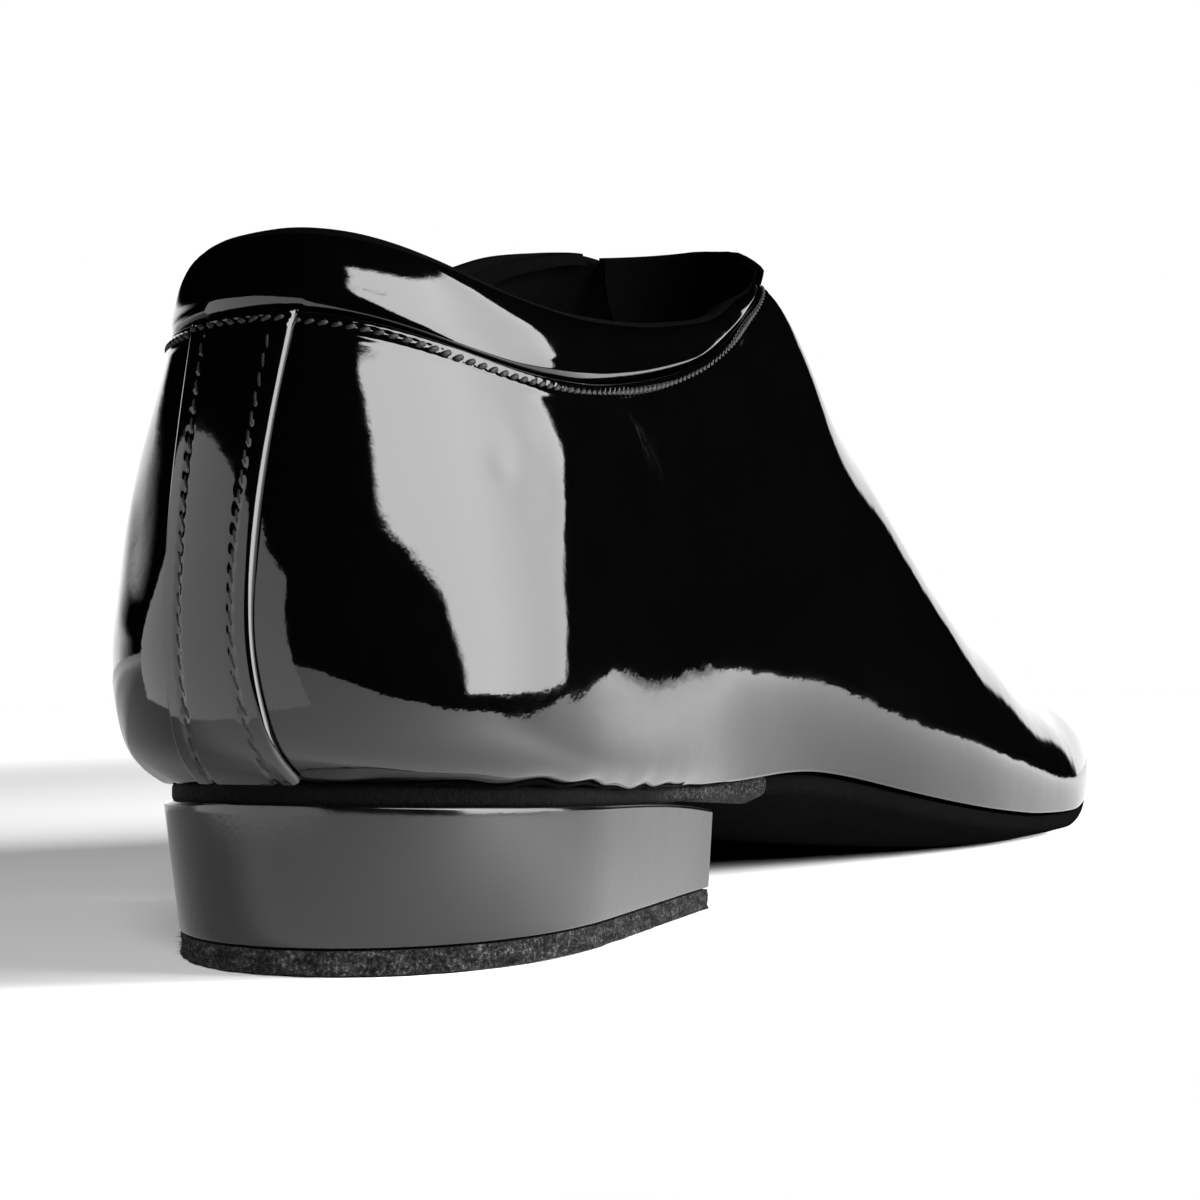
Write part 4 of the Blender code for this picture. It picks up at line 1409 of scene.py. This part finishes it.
class SHOE_OT_heel(bpy.types.Operator):
    """Covered heel block with a rounded top edge"""
    bl_idname = "shoe.heel"
    bl_label = "Heel"

    def execute(self, context):
        bottom = TOP_PIECE_THICKNESS + GAP
        levels = []
        for up, inset in ((0.0, HEEL_FOOT), (0.3 * HEEL_FOOT, 0.3 * HEEL_FOOT), (HEEL_FOOT, 0.0)):
            loop, at = heel_loop(HEEL_TAPER + inset)
            levels.append(np.column_stack([loop, np.full_like(at, bottom + up)]))
        start = bottom + HEEL_FOOT
        for part in np.linspace(0.06, 1, HEEL_LEVELS):
            loop, at = heel_loop(HEEL_TAPER * (1 - part))
            seat = sole_under(at, np.zeros_like(at)) - GAP
            levels.append(np.column_stack([loop, start + (seat - HEEL_EDGE - start) * part]))
        for turn in np.radians((15, 30, 45, 60, 75, 90)):
            loop, at = heel_loop(HEEL_EDGE * (1 - np.cos(turn)))
            seat = sole_under(at, np.zeros_like(at)) - GAP
            levels.append(np.column_stack([loop, seat - HEEL_EDGE * (1 - np.sin(turn))]))
        points, faces = stack(levels)
        finish = heel_finish("heel_patent", context.scene.shoe_colours.patent)
        new_piece("heel", points, faces, [finish], ("heel",), sharp=0.8)
        return {"FINISHED"}


def torn_threads(loop):
    """Fine pointed threads that stand out of the top piece's edge, each as its four corners."""
    draw = np.random.default_rng(STRAND_SEED)
    run = lengths(np.column_stack([loop, np.zeros(len(loop))]))
    strands = []
    for _ in range(STRANDS):
        place = draw.uniform(0, run[-1])
        x, y = np.interp(place, run, loop[:, 0]), np.interp(place, run, loop[:, 1])
        root = np.array((x, y, draw.uniform(0.15, TOP_PIECE_THICKNESS - 0.1)))
        away = unit(np.array((x, y, 0.0)) - HEEL_MIDDLE)
        tip = away * draw.uniform(0.15, 0.75) + draw.normal(size=3) * 0.22
        tip[2] = max(tip[2], 0.03 - root[2])
        side = unit(np.cross(tip, draw.normal(size=3))) * STRAND_HALF
        up = unit(np.cross(tip, side)) * STRAND_HALF
        foot = root - away * 0.2
        strands.append(np.stack([foot + side, foot - side, foot + up, root + tip]))
    return strands


class SHOE_OT_top_piece(bpy.types.Operator):
    """Fibrous walking piece under the heel, with torn threads along its edge"""
    bl_idname = "shoe.top_piece"
    bl_label = "Top piece"

    def execute(self, context):
        loop, at = heel_loop(HEEL_TAPER + TOP_PIECE_INSET)
        levels = []
        for z in np.linspace(0, TOP_PIECE_THICKNESS, TOP_PIECE_LEVELS):
            ring = np.column_stack([loop, np.full_like(at, z)])
            frayed = ripple(ring, 2.2, 0.07, 21) + ripple(ring, 0.9, 0.06, 22)
            inward = unit(HEEL_MIDDLE - ring * np.array((1.0, 1.0, 0.0)))
            levels.append(ring - inward * (frayed - 0.06)[:, None])
        points, faces = stack(levels)
        finish = fibre_finish("fibre", context.scene.shoe_colours.fibre)
        new_piece("heel_top_piece", points, faces, [finish], ("heel_top_piece",), sharp=0.9)
        strands = torn_threads(loop)
        corners = np.array(((0, 1, 3), (1, 2, 3), (2, 0, 3), (0, 2, 1)))
        faces = np.concatenate([corners + 4 * k for k in range(len(strands))])
        new_piece("heel_top_piece_threads", np.concatenate(strands), faces, [finish])
        return {"FINISHED"}


def glow_sheet(name, points, levels):
    """Light sheet through a grid of points with a glow at each, unseen by the camera and off the floor."""
    mesh = bpy.data.meshes.new(name)
    rows, cols = points.shape[:2]
    mesh.from_pydata(points.reshape(-1, 3).tolist(), [], grid_faces(rows, cols).tolist())
    glow = mesh.attributes.new("glow", "FLOAT", "POINT")
    glow.data.foreach_set("value", levels.astype(np.float32).ravel())
    finish = Finish(name)
    level = finish.node("ShaderNodeAttribute", {"attribute_name": "glow"}, None, "Color")
    finish.set(Base_Color=BLACK, Specular_IOR_Level=0.0, Emission_Color=level, Emission_Strength=1.0)
    mesh.materials.append(finish.material)
    made = bpy.data.objects.new(name, mesh)
    bpy.context.scene.collection.objects.link(made)
    made.visible_camera = False
    made.visible_shadow = False
    made.light_linking.receiver_collection = bpy.data.collections["off_floor"]


def glow_panel(name, turns, rises, radius, glow):
    """Curved light panel round the shoe's back: limits in degrees, glow by turn and rise."""
    turn, rise = np.linspace(*turns, PANEL_COLS), np.linspace(*rises, PANEL_ROWS)
    turn, rise = np.meshgrid(turn, rise, indexing="ij")
    heading = np.radians(turn)
    round_shoe = np.stack([np.cos(heading), np.sin(heading), np.tan(np.radians(rise))], -1)
    level = glow(turn, rise) * within(turn, turns) * within(rise, rises)
    glow_sheet(name, PANEL_CENTRE + round_shoe * radius, level)


def within(angle, limits):
    """1 between the limits, fading to 0 at them."""
    low, high = limits
    return ease(angle, low, low + PANEL_SOFT) * (1 - ease(angle, high - PANEL_SOFT, high))


def window(turn, rise):
    """Glow of the large window on the near side, wider at its top left."""
    level = 12.5 - 5.0 * ease(turn, -95, -45)
    left = -106 - 8 * ease(rise, -20, 18) - 38 * ease(rise, 14, 40)
    right = -45 + 7 * ease(rise, 16, 24)
    top = 46 + 0.13 * (turn + 108)
    sides = ease(turn, left, left + 3) * (1 - ease(turn, right - 2, right))
    return level * sides * (1 - ease(rise, top - 2, top))


def backdrop(turn, rise):
    """Glow of the low backdrop beyond the toe, fading towards the far side."""
    top = 23 - 6 * ease(turn, 20, 50)
    right = 80 + 15 * ease(rise, 9, 13) + 12 * (1 - ease(rise, 3, 7))
    return 2.0 * (1 - ease(turn, right - 24, right + 2)) * (1 - ease(rise, top - 2, top))


class SHOE_OT_stage(bpy.types.Operator):
    """Pale floor, light panels, white surroundings and the camera"""
    bl_idname = "shoe.stage"
    bl_label = "Stage"

    def execute(self, context):
        studio = context.scene.shoe_studio
        self.make_floor(studio)
        self.make_panels()
        self.make_world(context.scene)
        self.make_camera(context.scene, studio)
        context.scene.view_settings.view_transform = "Standard"
        return {"FINISHED"}

    def make_floor(self, studio):
        finish = Finish("floor")
        tone = finish.noise(0.05, 2.0, 0.5)
        pale = finish.mix(tone, rgba(studio.floor_colour), rgba(studio.floor_colour, 1.02))
        away = finish.node("ShaderNodeVectorMath", {"operation": "LENGTH"}, {0: finish.place()}, "Value")
        beyond = finish.node(
            "ShaderNodeVectorMath", {"operation": "DISTANCE"}, {0: finish.place(), 1: FLOOR_GLOW_MIDDLE}, "Value")
        finish.set(
            Base_Color=pale,
            Roughness=0.9,
            Alpha=finish.rise(away, FLOOR_FADE, 1.0, 0.0),
            # Painted light: the floor glows white towards the back, for lamp light on the far floor
            Emission_Color=finish.mix(finish.rise(beyond, FLOOR_GLOW_RANGE), BLACK, WHITE),
            Emission_Strength=1.0,
        )
        # Painted shade: black strip past the floor's edge, unseen by the camera, for that edge's shaded
        # side
        dark = Finish("edge_shade")
        dark.set(Base_Color=BLACK, Roughness=1.0, Specular_IOR_Level=0.0)
        edge = studio.floor_edge
        strip = edge + EDGE_SHADE_WIDTH
        far, knee = FLOOR_REACH, FLOOR_KNEE
        turned = edge - FLOOR_BEND * (far - knee)
        back = ((-far, -far), (far, -far), (far, turned), (knee, edge), (-far, edge))
        front = ((-far, edge), (knee, edge), (knee, strip), (-far, strip), (far, turned), (far, strip))
        floor = self.make_sheet("floor", studio, back, [(0, 1, 2, 3, 4)], finish)
        edge_shade = self.make_sheet("floor_edge_shade", studio, front, [(0, 1, 2, 3), (1, 4, 5, 2)], dark)
        edge_shade.visible_camera = False
        lit = bpy.data.collections.new("lit_floor")
        lit.objects.link(floor)
        off = bpy.data.collections.new("off_floor")
        off.objects.link(floor)
        off.collection_objects[0].light_linking.link_state = "EXCLUDE"
        for light in FLOOR_LIGHTS:
            self.make_floor_light(lit, *light)

    def make_sheet(self, name, studio, corners, faces, finish):
        along = Vector((math.cos(studio.floor_turn), math.sin(studio.floor_turn), 0.0))
        near = Vector((along.y, -along.x, 0.0))
        mesh = bpy.data.meshes.new(name)
        mesh.from_pydata([along * a + near * b - Vector((0, 0, FLOOR_DROP)) for a, b in corners], [], faces)
        mesh.materials.append(finish.material)
        made = bpy.data.objects.new(name, mesh)
        bpy.context.scene.collection.objects.link(made)
        return made

    def make_floor_light(self, lit, name, place, aim, size, power):
        data = bpy.data.lights.new(name, "AREA")
        data.shape = "DISK"
        data.size = size
        data.energy = power
        made = bpy.data.objects.new(name, data)
        made.location = place
        made.rotation_euler = (made.location - Vector(aim)).to_track_quat("Z", "Y").to_euler()
        made.light_linking.receiver_collection = lit
        made.visible_camera = False
        bpy.context.scene.collection.objects.link(made)

    def make_panels(self):
        glow_panel("window", WINDOW_TURNS, WINDOW_RISES, WINDOW_RADIUS, window)
        glow_panel("backdrop", BACKDROP_TURNS, BACKDROP_RISES, BACKDROP_RADIUS, backdrop)
        along = np.linspace(0, 1, CARD_STEPS)[:, None, None]
        up = np.linspace(0, 1, CARD_STEPS)[None, :, None]
        feet, tops = np.array(CARD_FEET), np.array(CARD_TOPS)
        foot = feet[0] + (feet[1] - feet[0]) * along
        top = tops[0] + (tops[1] - tops[0]) * along + np.array((0, 0, CARD_BOW)) * np.sin(np.pi * along)
        glow = CARD_GLOW[1] + (CARD_GLOW[0] - CARD_GLOW[1]) * (1 - up[..., 0]) + 0 * along[..., 0]
        glow_sheet("side_card", foot + (top - foot) * up, glow)

    def make_world(self, scene):
        world = bpy.data.worlds.new("studio")
        scene.world = world
        world.use_nodes = True
        nodes = Nodes(world.node_tree)
        white = nodes.tree.nodes["Background"]
        feed(nodes.tree, white.inputs["Color"], WHITE)
        seen = Value(nodes.tree, white.outputs[0])
        dark = nodes.node("ShaderNodeBackground", None, {"Color": BLACK})
        ray = nodes.node("ShaderNodeLightPath", None, None, "Is Camera Ray")
        choice = nodes.node("ShaderNodeMixShader", None, {0: ray, 1: dark, 2: seen})
        feed(nodes.tree, nodes.tree.nodes["World Output"].inputs["Surface"], choice)

    def make_camera(self, scene, studio):
        ahead = Vector((
            math.cos(studio.turn) * math.cos(studio.rise),
            math.sin(studio.turn) * math.cos(studio.rise),
            math.sin(studio.rise),
        ))
        level = Vector((math.sin(studio.turn), -math.cos(studio.turn), 0.0))
        up = level.cross(ahead)
        right = level * math.cos(studio.roll) + up * math.sin(studio.roll)
        up = up * math.cos(studio.roll) - level * math.sin(studio.roll)
        data = bpy.data.cameras.new("camera")
        data.lens = studio.lens
        data.sensor_width = 36.0
        data.clip_start = 0.01
        made = bpy.data.objects.new("camera", data)
        turned = Matrix((right, up, -ahead)).transposed().to_4x4()
        made.matrix_world = Matrix.Translation(studio.place) @ turned
        scene.collection.objects.link(made)
        scene.camera = made


STEPS = (
    SHOE_OT_upper, SHOE_OT_lining, SHOE_OT_collar, SHOE_OT_backstay, SHOE_OT_stitches, SHOE_OT_tongue,
    SHOE_OT_sole, SHOE_OT_heel, SHOE_OT_top_piece, SHOE_OT_stage,
)


class SHOE_PT_panel(bpy.types.Panel):
    """Sidebar panel with the steps and their settings"""
    bl_label = "Ballroom shoe"
    bl_idname = "SHOE_PT_panel"
    bl_space_type = "VIEW_3D"
    bl_region_type = "UI"
    bl_category = "Shoe"

    def draw(self, context):
        for step in STEPS:
            self.layout.operator(step.bl_idname)
        for group in (context.scene.shoe_sizes, context.scene.shoe_colours, context.scene.shoe_studio):
            box = self.layout.box()
            for name in group.__annotations__:
                box.prop(group, name)


GROUPS = {"shoe_sizes": ShoeSizes, "shoe_colours": ShoeColours, "shoe_studio": StudioSettings}
CLASSES = (*GROUPS.values(), *STEPS, SHOE_PT_panel)


def register():
    """Adds the classes and the settings of the scene."""
    for cls in CLASSES:
        bpy.utils.register_class(cls)
    for name, cls in GROUPS.items():
        setattr(bpy.types.Scene, name, bpy.props.PointerProperty(type=cls))


def unregister():
    """Removes the settings of the scene and the classes."""
    for name in GROUPS:
        delattr(bpy.types.Scene, name)
    for cls in reversed(CLASSES):
        bpy.utils.unregister_class(cls)


def main():
    register()
    bpy.ops.shoe.upper()
    bpy.ops.shoe.lining()
    bpy.ops.shoe.collar()
    bpy.ops.shoe.backstay()
    bpy.ops.shoe.stitches()
    bpy.ops.shoe.tongue()
    bpy.ops.shoe.sole()
    bpy.ops.shoe.heel()
    bpy.ops.shoe.top_piece()
    bpy.ops.shoe.stage()


if __name__ == "__main__":
    main()
